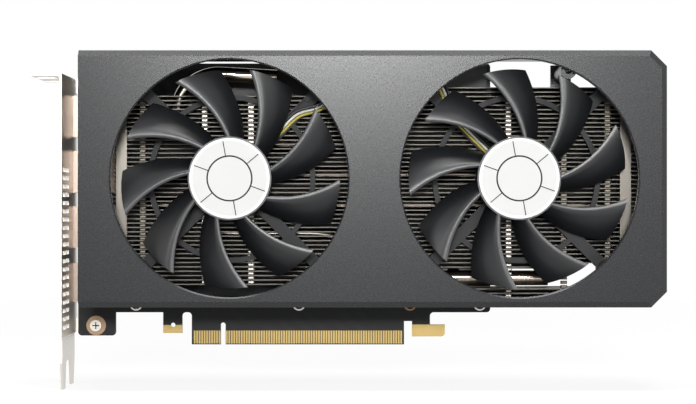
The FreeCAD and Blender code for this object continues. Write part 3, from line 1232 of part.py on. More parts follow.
def plates(grooves):
    """The copper plate on the processor, the base block with its pipe grooves, and the VRM block."""
    face = "package_thick + die_thick"
    copper = box("copper_blank", "gpu_reach - plate_side / 2", "-plate_front", "gpu_height - plate_side / 2",
                 "plate_side", f"plate_front - ({face})", "plate_side")
    for number, (x, z) in enumerate(clamp_places(), start=1):
        hole = rod(f"copper_thread_{number}", x, f"-({face})", z, "clamp_radius",
                   f"plate_front - ({face}) - thread_web")
        copper = cut(f"copper_bored_{number}", copper, hole)
    subpart(copper, "copper_plate")

    half = size("block_side") / 2
    block = block_of(size("gpu_reach") - half, size("gpu_reach") + half, size("plate_front"),
                     size("fin_rear"), size("gpu_height") - half, size("gpu_height") + half)
    subpart(made("base_block_shape", block.cut(list(grooves.values()))), "base_block")

    half_stage = size("stage_long") / 2
    low = size("gpu_height") - size("choke_drop") - size("stage_wide") / 2
    high = low + size("stage_wide") / 2 + (count("choke_count") - 1) * size("choke_pitch") + size("stage_wide") / 2
    rear = size("stage_high") + size("pad_thick")
    bar = block_of(size("stage_reach") - half_stage, size("stage_reach") + half_stage, rear,
                   size("fin_rear"), low, high)
    subpart(made("power_stage_block", bar.cut(list(grooves.values()))), "power_stage_bar")


def clamp_cross(name, start, thick, label):
    """A cross with a square middle behind the board and a hole at each end."""
    body = new_body(name + "_body")
    arm_long = "clamp_offset * sqrt(2)"
    middle = sketch_on(body, "XZ_Plane", name + "_middle", f"-({start} + {thick})")
    add_rectangle(middle, "-clamp_wide", "-clamp_wide", "clamp_wide", "clamp_wide")
    pad(body, middle, thick, name + "_middle_pad")
    arm = sketch_on(body, "XZ_Plane", name + "_arm", f"-({start} + {thick})")
    add_rectangle(arm, "0", "-clamp_wide / 2", arm_long, "clamp_wide / 2")
    arm_pad = pad(body, arm, thick, name + "_arm_pad")
    end = sketch_on(body, "XZ_Plane", name + "_end", f"-({start} + {thick})")
    add_circle(end, arm_long, "0", "clamp_wide / 2")
    end_pad = pad(body, end, thick, name + "_end_pad")
    hole = sketch_on(body, "XZ_Plane", name + "_hole", f"-({start})")
    add_circle(hole, arm_long, "0", "clamp_radius + window_gap")
    hole_cut = pocket(body, hole, thick, name + "_hole_cut")
    pattern_round(body, [arm_pad, end_pad, hole_cut], "Y_Axis", 4, name + "_arms")
    body.Placement = Placement(Vector(), Rotation(Vector(0, 1, 0), 45))
    return subpart(place(body, "gpu_reach", "0", "gpu_height"), label)


def clamp():
    """The clamp behind the board: pad, steel cross, springs and screws into the copper plate."""
    clamp_cross("clamp_film", "board_thick", "clamp_pad", "clamp_insulator")
    clamp_cross("clamp_steel", "board_thick + clamp_pad", "clamp_thick", "clamp_plate")
    seat = "board_thick + clamp_pad + clamp_thick + spring_long"
    depth = f"-({seat})"
    length = f"{seat} + plate_front - 2 * thread_web"
    screws = [cross_screw(f"clamp_screw_{number}", x, depth, z, length, True, "clamp_radius")
              for number, (x, z) in enumerate(clamp_places(), start=1)]
    subpart(group("clamp_screw_set", screws), "clamp_screws")

    wire = size("spring_wire")
    turns = size("spring_turns")
    reach = size("spring_long") - 2 * wire
    helix = Part.makeHelix(reach / turns, reach, size("spring_radius") - wire)
    section = Part.Wire([Part.Circle(helix.Vertexes[0].Point, Vector(0, 1, 0), wire).toShape()])
    coil = helix.makePipeShell([section], True, True)
    foot = size("board_thick") + size("clamp_pad") + size("clamp_thick") + wire
    coils = []
    for side_x in (-1, 1):
        for side_z in (-1, 1):
            copy = coil.copy()
            copy.Placement = Placement(Vector(size("gpu_reach") + side_x * size("clamp_offset"), foot,
                                              size("gpu_height") + side_z * size("clamp_offset")),
                                       Rotation(Vector(1, 0, 0), -90))
            coils.append(copy)
    subpart(made("clamp_spring_set", Part.makeCompound(coils)), "clamp_springs")


# ---------------------------------------------------------------- what is soldered to the board

def chip(name, x, z, wide, high, thick, lift="0"):
    """A flat part on the board's front, from formulas for its middle, sides and thickness."""
    return box(name, f"{x} - ({wide}) / 2", f"-({lift} + {thick})", f"{z} - ({high}) / 2", wide, thick, high)


def processor():
    """The processor package, its bare chip and the memory round it; gives back the memory's pads."""
    subpart(chip("package", "gpu_reach", "gpu_height", "package_side", "package_side", "package_thick"),
            "processor_package")
    subpart(chip("die", "gpu_reach", "gpu_height", "die_wide", "die_high", "die_thick", "package_thick"),
            "processor_chip")
    memory = []
    pads = []
    number = 0
    for far in "-+":
        for near in "-+":
            for upright in (True, False):
                number += 1
                if upright:
                    x, z = f"gpu_reach {far} memory_reach", f"gpu_height {near} memory_offset"
                    wide, high = "memory_wide", "memory_long"
                else:
                    x, z = f"gpu_reach {near} memory_offset", f"gpu_height {far} memory_reach"
                    wide, high = "memory_long", "memory_wide"
                memory.append(chip(f"memory_{number}", x, z, wide, high, "package_thick"))
                pads.append(chip(f"memory_pad_{number}", x, z, wide, high, "die_thick", "package_thick"))
    subpart(group("memory_set", memory), "memory_chips")
    return pads


def power_parts():
    """Chokes, power stages and capacitors, in three columns; gives back the stages' thermal pad."""
    chokes = []
    stages = []
    cans = []
    for number in range(count("choke_count")):
        height = f"{CHOKE_LOW} + {number} * choke_pitch"
        chokes.append(chip(f"choke_{number}", "choke_reach", height, "choke_side", "choke_side", "choke_high"))
        stages.append(chip(f"stage_{number}", "stage_reach", height, "stage_long", "stage_wide", "stage_high"))
        cans.append(rod(f"can_{number}", "can_reach", "0", height, "can_radius", "can_high"))
    subpart(group("choke_set", chokes), "chokes")
    subpart(group("stage_set", stages), "power_stages")
    subpart(group("can_set", cans), "capacitors")
    column = "(choke_count - 1) * choke_pitch"
    return chip("stage_pad", "stage_reach", f"{CHOKE_LOW} + {column} / 2", "stage_long",
                f"{column} + stage_wide", "pad_thick", "stage_high")


def power_socket():
    """The power socket: a housing with two rows of cells, and a pin in each cell."""
    deep = "2 * (power_pitch + power_wall)"
    housing = box("power_housing", POWER_LEFT, f"-{deep}", "power_top - power_long",
                  "power_columns * power_pitch", deep, "power_long")
    cells = []
    pins = []
    for column in range(count("power_columns")):
        for line in range(2):
            x = f"{POWER_LEFT} + {column + 0.5} * power_pitch"
            depth = f"power_wall + {line + 0.5} * power_pitch"
            cells.append(box(f"cell_{column}_{line}", f"{x} - power_cell / 2",
                             f"-({depth} + power_cell / 2)", "power_top - cell_deep",
                             "power_cell", "power_cell", "cell_deep"))
            pins.append(box(f"pin_{column}_{line}", f"{x} - pin_side / 2", f"-({depth} + pin_side / 2)",
                            "power_top - cell_deep", "pin_side", "pin_side", "cell_deep - pin_drop"))
    subpart(cut("power_housing_cut", housing, fuse("power_cells", cells)), "power_socket")
    subpart(group("power_pin_set", pins), "power_pins")


def copper_rings():
    """Copper rings on the board's front under the bracket screws' heads, set into its skin."""
    rings = []
    for number, high in enumerate(("lug_screw_low", "lug_screw_top"), start=1):
        disc = rod(f"ring_disc_{number}", "-lug_screw_reach", "0", high, "head_radius + copper_wide", "gold_skin")
        middle = rod(f"ring_middle_{number}", "-lug_screw_reach", "0", high, "head_radius + gold_skin",
                     "gold_skin")
        rings.append(cut(f"ring_{number}", disc, middle))
    subpart(group("copper_ring_set", rings), "copper_rings")


def back_capacitors():
    """Rows of small capacitors behind the processor, between the clamp's arms."""
    pieces = []
    for row, (side_x, side_z) in enumerate(((1, 0), (-1, 0), (0, 1), (0, -1))):
        for step in range(-2, 3):
            x = f"gpu_reach + ({side_x}) * clamp_wide * 2 + ({side_z}) * {step} * ceramic_pitch"
            z = f"gpu_height + ({side_z}) * clamp_wide * 2 + ({side_x}) * {step} * ceramic_pitch"
            pieces.append(box(f"back_cap_{row}_{step + 2}", f"{x} - ceramic_side / 2", "board_thick",
                              f"{z} - ceramic_side / 2", "ceramic_side", "ceramic_high", "ceramic_side"))
    subpart(group("back_capacitor_set", pieces), "back_capacitors")


# ---------------------------------------------------------------- assembly and export

board()
edge_contacts()
tab_plating()
copper_rings()
bracket()
sockets()
bracket_screws()
shroud()
drive_boards = []
all_leads = []
for fan_label, fan_axis, arm_turn, lead_way in (("left", FANS[0][1], 45, 1), ("right", FANS[1][1], 135, -1)):
    rotor(fan_label, fan_axis)
    drive_boards.append(fan_inside(fan_label, fan_axis))
    stator(fan_label, fan_axis)
    fan_frame(fan_label, fan_axis, arm_turn)
    all_leads.append(fan_leads(fan_label, fan_axis, lead_way))
subpart(group("drive_board_pair", drive_boards), "drive_boards")
for lead_colour in LEAD_COLOURS:
    pair = Part.makeCompound([leads[lead_colour] for leads in all_leads])
    subpart(made(f"lead_pair_{lead_colour}", pair), f"fan_leads_{lead_colour}")
fan_plugs()
fan_screws()
pipes = pipe_solids(size("pipe_radius"))
pipe_grooves = pipe_solids(size("pipe_radius") + size("pipe_gap"))
heat_pipes(pipes)
fin_stacks(pipe_grooves)
rails()
cooler_screws()
plates(pipe_grooves)
clamp()
thermal_pads = processor() + [power_parts()]
subpart(group("thermal_pad_set", thermal_pads), "thermal_pads")
power_socket()
back_capacitors()

doc.recompute()
problems = []
for piece in doc.Objects:
    if "Invalid" in piece.State or "Error" in piece.State:
        problems.append(f"{piece.Name}: {piece.State}")
for piece in SUBPARTS:
    if piece.Shape.isNull() or not piece.Shape.isValid() or not piece.Shape.Solids:
        problems.append(f"{piece.Label}: no valid solid")
if problems:
    raise RuntimeError("; ".join(problems))

os.makedirs("parts", exist_ok=True)
for piece in SUBPARTS:
    piece.Shape.exportStep(f"parts/{piece.Label}.step")
    bounds = piece.Shape.BoundBox
    print(f"{piece.Label}: {len(piece.Shape.Solids)} solids, {piece.Shape.Volume:.1f} mm3, "
          f"X {bounds.XMin:.1f} to {bounds.XMax:.1f}, Y {bounds.YMin:.1f} to {bounds.YMax:.1f}, "
          f"Z {bounds.ZMin:.1f} to {bounds.ZMax:.1f}")
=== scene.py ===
import json
import math

import bmesh
import bpy
from bpy.props import FloatProperty, FloatVectorProperty, IntProperty, PointerProperty
from bpy.types import Operator, Panel, PropertyGroup
from mathutils import Matrix, Vector


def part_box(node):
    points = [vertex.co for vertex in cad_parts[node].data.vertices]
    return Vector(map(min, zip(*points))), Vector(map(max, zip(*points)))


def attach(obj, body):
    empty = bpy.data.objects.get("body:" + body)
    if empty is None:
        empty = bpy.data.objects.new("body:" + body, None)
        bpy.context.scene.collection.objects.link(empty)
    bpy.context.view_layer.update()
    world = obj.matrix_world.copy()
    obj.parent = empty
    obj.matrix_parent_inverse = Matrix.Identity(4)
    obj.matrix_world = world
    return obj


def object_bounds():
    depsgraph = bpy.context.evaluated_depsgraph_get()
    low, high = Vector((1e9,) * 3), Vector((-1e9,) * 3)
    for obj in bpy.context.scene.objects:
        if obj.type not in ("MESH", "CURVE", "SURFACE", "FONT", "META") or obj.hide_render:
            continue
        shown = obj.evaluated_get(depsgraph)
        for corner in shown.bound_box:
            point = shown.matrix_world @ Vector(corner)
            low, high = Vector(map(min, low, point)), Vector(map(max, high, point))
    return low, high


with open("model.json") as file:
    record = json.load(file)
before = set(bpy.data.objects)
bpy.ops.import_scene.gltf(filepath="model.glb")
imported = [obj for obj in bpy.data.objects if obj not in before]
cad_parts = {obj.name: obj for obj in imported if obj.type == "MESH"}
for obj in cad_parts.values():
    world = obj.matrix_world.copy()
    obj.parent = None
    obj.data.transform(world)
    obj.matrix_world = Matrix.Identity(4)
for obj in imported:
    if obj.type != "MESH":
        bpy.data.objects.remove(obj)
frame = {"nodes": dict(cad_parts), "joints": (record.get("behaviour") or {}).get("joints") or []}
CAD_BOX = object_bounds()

bl_info = {
    "name": "Graphics Card Dressing",
    "version": (1, 0, 0),
    "blender": (4, 5, 0),
    "location": "View3D > Sidebar > Card",
    "description": "Finishes and fine details for a two-fan graphics card",
    "category": "Object",
}

NODES = frame["nodes"]
JOINTS = {joint["child"]: Vector(joint["pos_m"]) for joint in frame["joints"]}
MM = 0.001
AHEAD = Vector((0, -1, 0))
FULL_TURN = 2 * math.pi


def colour(hexa):
    """An sRGB hex value as linear red, green, blue and alpha."""
    parts = [int(hexa[n:n + 2], 16) / 255 for n in (1, 3, 5)]
    linear = [p / 12.92 if p <= 0.04045 else ((p + 0.055) / 1.055) ** 2.4 for p in parts]
    return (*linear, 1.0)


def colour_property(name, description, hexa):
    """A colour that a user may change, given as an sRGB hex value."""
    return FloatVectorProperty(name=name, description=description, default=colour(hexa)[:3],
                               subtype="COLOR", min=0.0, max=1.0)


def length_property(name, description, metres):
    """A length that a user may change, in metres."""
    return FloatProperty(name=name, description=description, default=metres, unit="LENGTH",
                         subtype="DISTANCE", precision=5)


# ---------------------------------------------------------------- settings

class CardColours(PropertyGroup):
    """The colours of the card's main finishes."""
    shroud: colour_property("Shroud", "Gunmetal of the moulded shroud", "#131416")
    blades: colour_property("Blades", "Moulded black of the rotors and frames", "#0f1012")
    disc: colour_property("Hub disc", "White of the hub discs", "#a8a8a7")
    mask: colour_property("Solder mask", "Lacquer over the circuit board", "#0b0c0d")
    gold: colour_property("Gold", "Gold of the contacts and tabs", "#8f7c50")
    nickel: colour_property("Nickel", "Nickel plating of the bracket", "#cdc9c1")
    # The fins' grey is darkened as painted shade, for the shadow inside the stacks.
    fins: colour_property("Fins", "Aluminium of the cooling fins", "#55534f")
    copper: colour_property("Copper", "Bare copper", "#86705b")


class CardSizes(PropertyGroup):
    """The sizes of the details that dress the card."""
    edge_break: length_property("Edge break", "Rounding of the shroud's edges", 0.3 * MM)
    ring_radius: length_property("Ring radius", "Middle radius of the dark ring on a hub disc", 8.5 * MM)
    ring_wide: length_property("Ring width", "Width of the dark ring", 0.6 * MM)
    tick_count: IntProperty(name="Ticks", description="Radial lines on a hub disc", default=6, min=2,
                            max=24)
    tick_wide: length_property("Tick width", "Width of a radial line", 0.36 * MM)
    tick_margin: length_property("Tick margin", "Radial line's end to the disc's edge", 0.6 * MM)
    ink_high: length_property("Ink height", "Thickness of the ink on a hub disc", 0.04 * MM)
    rim_wide: length_property("Rim width", "Width of a hub disc's grey rim", 1.0 * MM)
    rim_high: length_property("Rim height", "Height of the grey rim over the disc", 0.06 * MM)
    tab_wide: length_property("Tab width", "Width of a fin's lock tab", 2.6 * MM)
    tab_deep: length_property("Tab depth", "Depth of a fin's lock tab", 0.5 * MM)
    tab_gap: length_property("Tab gap", "Gap that a tab leaves to the fin above it", 0.45 * MM)
    first_tab: length_property("First tab", "Stack's lowest edge to the lowest tab's foot", 0.4 * MM)
    fin_pitch: length_property("Fin pitch", "Spacing of the cooling fins", 1.7 * MM)
    joint_radius: length_property("Solder joint radius", "Foot radius of a solder joint", 0.9 * MM)
    pad_radius: length_property("Pad radius", "Outer radius of a plated ring on the board", 2.6 * MM)
    pad_wide: length_property("Pad width", "Width of a plated ring on the board", 0.6 * MM)
    pad_height: length_property("Pad height", "Contact edge to the middle of the plated rings", 16.2 * MM)
    camera_along: length_property("Camera place", "Camera's place along the card", 50.1 * MM)
    camera_high: length_property("Camera height", "Camera above the frame's origin", 57.2 * MM)
    camera_reach: length_property("Camera distance", "Camera to the board's front face", 700 * MM)


# ---------------------------------------------------------------- materials

def add_node(tree, kind, inputs=None, **settings):
    """Add one shader node with its settings; an input is a socket to link or a value to set."""
    node = tree.nodes.new(kind)
    for name, value in settings.items():
        setattr(node, name, value)
    for key, value in (inputs or {}).items():
        if isinstance(value, bpy.types.NodeSocket):
            tree.links.new(value, node.inputs[key])
        else:
            node.inputs[key].default_value = value
    return node


def new_finish(name, base, roughness, metallic=0.0, ior=1.5):
    """A material with its plain values set; gives back what patterns are hung on."""
    material = bpy.data.materials.new(name)
    material.use_nodes = True
    tree = material.node_tree
    shader = tree.nodes["Principled BSDF"]
    shader.inputs["Base Color"].default_value = (*tuple(base)[:3], 1.0)
    shader.inputs["Roughness"].default_value = roughness
    shader.inputs["Metallic"].default_value = metallic
    shader.inputs["IOR"].default_value = ior
    material.diffuse_color = (*tuple(base)[:3], 1.0)
    place = add_node(tree, "ShaderNodeTexCoord").outputs["Object"]
    return material, tree, shader, place


def vary(tree, shader, pattern, base, spread, rough, rough_spread):
    """Let a 0 to 1 pattern shade the colour and the roughness a little."""
    low = tuple(max(c * (1 - spread), 0.0) for c in tuple(base)[:3])
    high = tuple(min(c * (1 + spread), 1.0) for c in tuple(base)[:3])
    shade = add_node(tree, "ShaderNodeMix", {"Factor": pattern, "A": (*low, 1.0), "B": (*high, 1.0)},
                     data_type="RGBA")
    tree.links.new(shade.outputs["Result"], shader.inputs["Base Color"])
    gloss = add_node(tree, "ShaderNodeMapRange", {
        "Value": pattern, "To Min": rough - rough_spread, "To Max": rough + rough_spread})
    tree.links.new(gloss.outputs["Result"], shader.inputs["Roughness"])


def raise_bump(tree, shader, pattern, height_mm):
    """Let a pattern stand out from the surface by a height."""
    bump = add_node(tree, "ShaderNodeBump", {"Height": pattern, "Distance": height_mm * MM,
                                             "Strength": 1.0})
    tree.links.new(bump.outputs["Normal"], shader.inputs["Normal"])


def moulded(name, base, roughness, grain_mm, height_mm, spread=0.12, ior=1.5, rough_spread=0.04):
    """Moulded or lacquered stuff with a fine even grain."""
    material, tree, shader, place = new_finish(name, base, roughness, ior=ior)
    grain = add_node(tree, "ShaderNodeTexNoise", {
        "Vector": place, "Scale": 1 / (grain_mm * MM), "Detail": 2.0, "Roughness": 0.6})
    vary(tree, shader, grain.outputs["Fac"], base, spread, roughness, rough_spread)
    raise_bump(tree, shader, grain.outputs["Fac"], height_mm)
    return material


def worked_metal(name, base, roughness, line_mm, along, height_mm, spread=0.12, rough_spread=0.05):
    """Metal with fine rolling or brushing lines along an axis, and soft clouds over it."""
    material, tree, shader, place = new_finish(name, base, roughness, metallic=1.0)
    stretch = Vector((1.0, 1.0, 1.0))
    stretch["XYZ".index(along)] = 0.04  # a line is 25 times as long as it is wide
    lined = add_node(tree, "ShaderNodeMapping", {"Vector": place, "Scale": stretch})
    lines = add_node(tree, "ShaderNodeTexNoise", {
        "Vector": lined.outputs["Vector"], "Scale": 1 / (line_mm * MM), "Detail": 3.0})
    # Handling and plating leave clouds about 14 mm across.
    clouds = add_node(tree, "ShaderNodeTexNoise", {"Vector": place, "Scale": 1 / (14 * MM), "Detail": 2.0})
    both = add_node(tree, "ShaderNodeMath", {0: lines.outputs["Fac"], 1: clouds.outputs["Fac"], 2: 0.2},
                    operation="MULTIPLY_ADD")
    vary(tree, shader, both.outputs["Value"], base, spread, roughness, rough_spread)
    raise_bump(tree, shader, lines.outputs["Fac"], height_mm)
    return material


def finish_node(names, material):
    """Give CAD nodes a material."""
    for name in names:
        mesh = NODES[name].data
        mesh.materials.clear()
        mesh.materials.append(material)


# ---------------------------------------------------------------- new pieces

def add_piece(name, shape, material, body):
    """Turn a bmesh, drawn in its place, into a named piece that rides on a body."""
    bmesh.ops.recalc_face_normals(shape, faces=shape.faces)
    mesh = bpy.data.meshes.new(name)
    shape.to_mesh(mesh)
    shape.free()
    piece = bpy.data.objects.new(name, mesh)
    bpy.context.scene.collection.objects.link(piece)
    mesh.materials.append(material)
    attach(piece, body)
    return piece


def add_box(shape, size, middle):
    """Add a box to a bmesh; gives back its corners."""
    verts = bmesh.ops.create_cube(shape, size=1.0)["verts"]
    bmesh.ops.scale(shape, vec=size, verts=verts)
    bmesh.ops.translate(shape, vec=middle, verts=verts)
    return verts


def spin_section(shape, centre, corners, steps):
    """Spin a closed section round the axis that runs ahead through a centre.

    Each corner is a radius and a depth, and a depth below nought stands out ahead.
    """
    verts = [shape.verts.new(centre + Vector((radius, depth, 0))) for radius, depth in corners]
    edges = [shape.edges.new(pair) for pair in zip(verts, verts[1:] + verts[:1])]
    bmesh.ops.spin(shape, geom=verts + edges, cent=centre, axis=AHEAD, angle=FULL_TURN,
                   steps=steps, use_merge=True)


# ---------------------------------------------------------------- finishes


class CARD_OT_finish_shroud(Operator):
    """Give the shroud its satin gunmetal grain"""
    bl_idname = "card.finish_shroud"
    bl_label = "Finish Shroud"

    def execute(self, context):
        colours = context.scene.card_colours
        # ABS moulded against a spark-eroded tool: a satin gunmetal with a fine, even sparkle.
        # The grit of such a tool is about 0.1 mm; it is drawn at 0.7 mm so that it shows.
        shroud = moulded("abs_spark_eroded_gunmetal", colours.shroud, roughness=0.27, grain_mm=0.7,
                         height_mm=0.004, spread=0.3, ior=1.38, rough_spread=0.04)
        finish_node(["shroud"], shroud)
        # The tool's edges are broken by about 0.3 mm, and each one catches a thin line of light.
        rounding = NODES["shroud"].modifiers.new("edge_rounding", "BEVEL")
        rounding.width = context.scene.card_sizes.edge_break
        rounding.segments = 2
        rounding.limit_method = "ANGLE"
        rounding.angle_limit = math.radians(40)  # leaves the round fan openings' facets alone
        return {"FINISHED"}


class CARD_OT_finish_fans(Operator):
    """Finish the rotors, frames and motors of the two fans"""
    bl_idname = "card.finish_fans"
    bl_label = "Finish Fans"

    def execute(self, context):
        colours = context.scene.card_colours
        # Glass-filled PBT, moulded smooth: satin black that shows a soft line of light on each edge.
        blades = moulded("pbt_moulded_satin_black", colours.blades, roughness=0.38, grain_mm=0.9,
                         height_mm=0.0006, spread=0.08, ior=1.58, rough_spread=0.02)
        # The same PBT from a blasted tool: duller, so the frame stays behind the blades.
        frames = moulded("pbt_moulded_matt_black", colours.blades, roughness=0.55, grain_mm=0.6,
                         height_mm=0.01, spread=0.15, ior=1.35)
        # Polycarbonate disc, printed white: matt and smooth, and white under the lamps that face it.
        disc = moulded("polycarbonate_white", colours.disc, roughness=0.8, grain_mm=2.0, height_mm=0.001,
                       spread=0.01)
        # Bonded ferrite: near black, dull and slightly grainy.
        ferrite = moulded("bonded_ferrite", colour("#2b2a29"), roughness=0.7, grain_mm=0.5, height_mm=0.02)
        # Stamped silicon steel with its blue-grey lamination lines, 0.5 mm apart.
        steel = worked_metal("silicon_steel_laminations", colour("#7c7f86"), roughness=0.4, line_mm=0.5,
                             along="X", height_mm=0.01)
        # Enamelled copper wire, wound close: warm, glossy and ribbed along the coil.
        wire = worked_metal("copper_enamelled_wire", colour("#b8653a"), roughness=0.28, line_mm=0.3,
                            along="Y", height_mm=0.03)
        # Sintered bronze: matt, brownish and porous.
        bronze = worked_metal("bronze_sintered", colour("#a87b4c"), roughness=0.5, line_mm=0.4, along="Y",
                              height_mm=0.01)
        # Ground bearing steel: bright, with faint turning lines.
        shaft = worked_metal("bearing_steel_ground", colour("#c9c9c8"), roughness=0.18, line_mm=0.2,
                             along="Y", height_mm=0.001)
        # Green FR4 laminate under a thin lacquer.
        drive = moulded("fr4_green_lacquer", colour("#1c4a30"), roughness=0.35, grain_mm=1.2,
                        height_mm=0.01)
        for part, material in (("rotor", blades), ("fan_frame", frames), ("hub_disc", disc),
                               ("magnet_ring", ferrite), ("stator", steel), ("stator_coils", wire),
                               ("bearing", bronze), ("shaft", shaft)):
            finish_node([f"{part}_left", f"{part}_right"], material)
        finish_node(["drive_boards"], drive)
        for lead, hexa in (("yellow", "#9c9138"), ("white", "#b4b4ac"), ("black", "#17171a")):
            # PVC lead insulation, extruded: smooth and slightly glossy, with faint waves.
            insulation = moulded(f"pvc_lead_{lead}", colour(hexa), roughness=0.4, grain_mm=1.5,
                                 height_mm=0.01)
            finish_node([f"fan_leads_{lead}"], insulation)
        return {"FINISHED"}


class CARD_OT_finish_cooler(Operator):
    """Finish the fins, pipes, plates, rails and clamp of the cooler"""
    bl_idname = "card.finish_cooler"
    bl_label = "Finish Cooler"

    def execute(self, context):
        colours = context.scene.card_colours
        # Rolled aluminium sheet, bare, with rolling lines along the fins; its soft grey is darkened as
        # painted shade, for the shadow inside the stacks.
        fins = worked_metal("aluminium_rolled_sheet_painted_shade", colours.fins, roughness=0.5, line_mm=0.5, along="X",
                            height_mm=0.006, spread=0.2)
        finish_node(["fin_stack_near", "fin_stack_far"], fins)
        # Milled aluminium blocks: brighter, with cutter lines 0.6 mm apart.
        block = worked_metal("aluminium_milled", colour("#b9b7b3"), roughness=0.35, line_mm=0.6, along="Z",
                             height_mm=0.01)
        finish_node(["base_block", "power_stage_bar"], block)
        # Nickel over copper pipe: smooth, warm grey and mirror-like, a little clouded by the bending.
        pipe = worked_metal("copper_pipe_nickel_plated", colour("#d0c4b8"), roughness=0.16, line_mm=1.5,
                            along="X", height_mm=0.004, spread=0.08)
        finish_node(["heat_pipe_upper", "heat_pipe_lower", "heat_pipes_middle"], pipe)
        # Ground copper plate: bare metal, slightly dulled by the air.
        copper = worked_metal("copper_ground", colours.copper, roughness=0.32, line_mm=0.4, along="X",
                              height_mm=0.004, spread=0.15)
        finish_node(["copper_plate", "copper_rings"], copper)
        # Nickel-plated sheet steel, rolled: mid grey, with a soft satin.
        rail = worked_metal("steel_sheet_nickel_plated", colour("#6a6660"), roughness=0.34, line_mm=0.8,
                            along="Z", height_mm=0.004, spread=0.08)
        finish_node(["side_rail_left", "side_rail_right", "clamp_plate"], rail)
        # The tab is the same steel under black baked enamel: satin, with a slight orange peel.
        finish_node(["cooler_tab"], moulded("steel_black_enamel", colour("#141517"), roughness=0.45,
                                            grain_mm=1.0, height_mm=0.01))
        # Zinc-plated steel screws and springs: cooler and greyer than nickel.
        screw = worked_metal("steel_zinc_plated", colour("#b4b3b1"), roughness=0.3, line_mm=0.5, along="Y",
                             height_mm=0.004, spread=0.15)
        finish_node(["fan_screws", "cooler_screws", "clamp_screws", "clamp_springs"], screw)
        # Polyester film: black, thin and slightly glossy.
        finish_node(["clamp_insulator"], moulded("polyester_film_black", colour("#16171a"), roughness=0.3,
                                                 grain_mm=1.5, height_mm=0.004))
        # Silicone thermal pad: grey-blue, soft and dull.
        finish_node(["thermal_pads"], moulded("silicone_pad", colour("#8792a0"), roughness=0.8,
                                              grain_mm=0.6, height_mm=0.02))
        return {"FINISHED"}


class CARD_OT_finish_bracket(Operator):
    """Finish the bracket, its screws and the sockets in it"""
    bl_idname = "card.finish_bracket"
    bl_label = "Finish Bracket"

    def execute(self, context):
        colours = context.scene.card_colours
        # Nickel-plated sheet steel, bent cold: pale and warm, with fine lines along its length.
        sheet = worked_metal("steel_bracket_nickel_plated", colours.nickel, roughness=0.4, line_mm=0.5,
                             along="Z", height_mm=0.004, spread=0.08)
        finish_node(["bracket"], sheet)
        # Drawn steel shells, plated like the bracket but smoother.
        shells = worked_metal("steel_shell_nickel_plated", colour("#a8968a"), roughness=0.3, line_mm=0.4,
                              along="X", height_mm=0.002, spread=0.08)
        finish_node(["display_sockets", "media_socket"], shells)
        # Nickel-plated machine screws: bright, with turned rings on their heads.
        screw = worked_metal("steel_screw_nickel_plated", colour("#c9c5bd"), roughness=0.24, line_mm=0.4,
                             along="Y", height_mm=0.006, spread=0.15)
        finish_node(["bracket_screws"], screw)
        # Liquid-crystal polymer, moulded black: the sockets' tongues, headers and plugs.
        lcp = moulded("lcp_moulded_black", colour("#131416"), roughness=0.5, grain_mm=0.5, height_mm=0.01)
        finish_node(["display_socket_tongues", "media_socket_tongue", "power_socket", "fan_headers"], lcp)
        # Natural nylon, moulded: milky and slightly glossy, as fan plugs are.
        finish_node(["fan_plugs"], moulded("nylon_moulded_natural", colour("#d9d6cc"), roughness=0.45,
                                           grain_mm=0.8, height_mm=0.006))
        # Tin-plated brass pins: silvery, a little dull.
        pins = worked_metal("brass_pin_tin_plated", colour("#c7c6c0"), roughness=0.3, line_mm=0.4,
                            along="Z", height_mm=0.003)
        finish_node(["power_pins"], pins)
        return {"FINISHED"}


def solder_mask(base):
    """Black lacquer over etched copper: smooth, with faint tracks and a fine orange peel."""
    material, tree, shader, place = new_finish("fr4_black_solder_mask", base, roughness=0.4, ior=1.28)
    turned = add_node(tree, "ShaderNodeMapping", {
        "Vector": place, "Rotation": Vector((0, math.radians(45), 0))})
    # Tracks are 0.8 mm apart; a wave's scale counts in twentieths of that. A slow noise leaves them only
    # in patches about 16 mm across, as round a chip.
    tracks = add_node(tree, "ShaderNodeTexWave", {
        "Vector": turned.outputs["Vector"], "Scale": 1 / (0.8 * MM) / 20, "Distortion": 0.0})
    patches = add_node(tree, "ShaderNodeTexNoise", {"Vector": place, "Scale": 1 / (16 * MM), "Detail": 1.0})
    patch_edge = add_node(tree, "ShaderNodeMapRange", {
        "Value": patches.outputs["Fac"], "From Min": 0.5, "From Max": 0.58})
    drawn = add_node(tree, "ShaderNodeMath", {
        0: tracks.outputs["Fac"], 1: patch_edge.outputs["Result"]}, operation="MULTIPLY")
    raised = [c * 1.3 for c in tuple(base)[:3]]  # the lacquer is thinner, and so lighter, over a track
    vary(tree, shader, drawn.outputs["Value"], raised, spread=0.4, rough=0.42, rough_spread=0.05)
    raise_bump(tree, shader, drawn.outputs["Value"], height_mm=0.02)
    return material


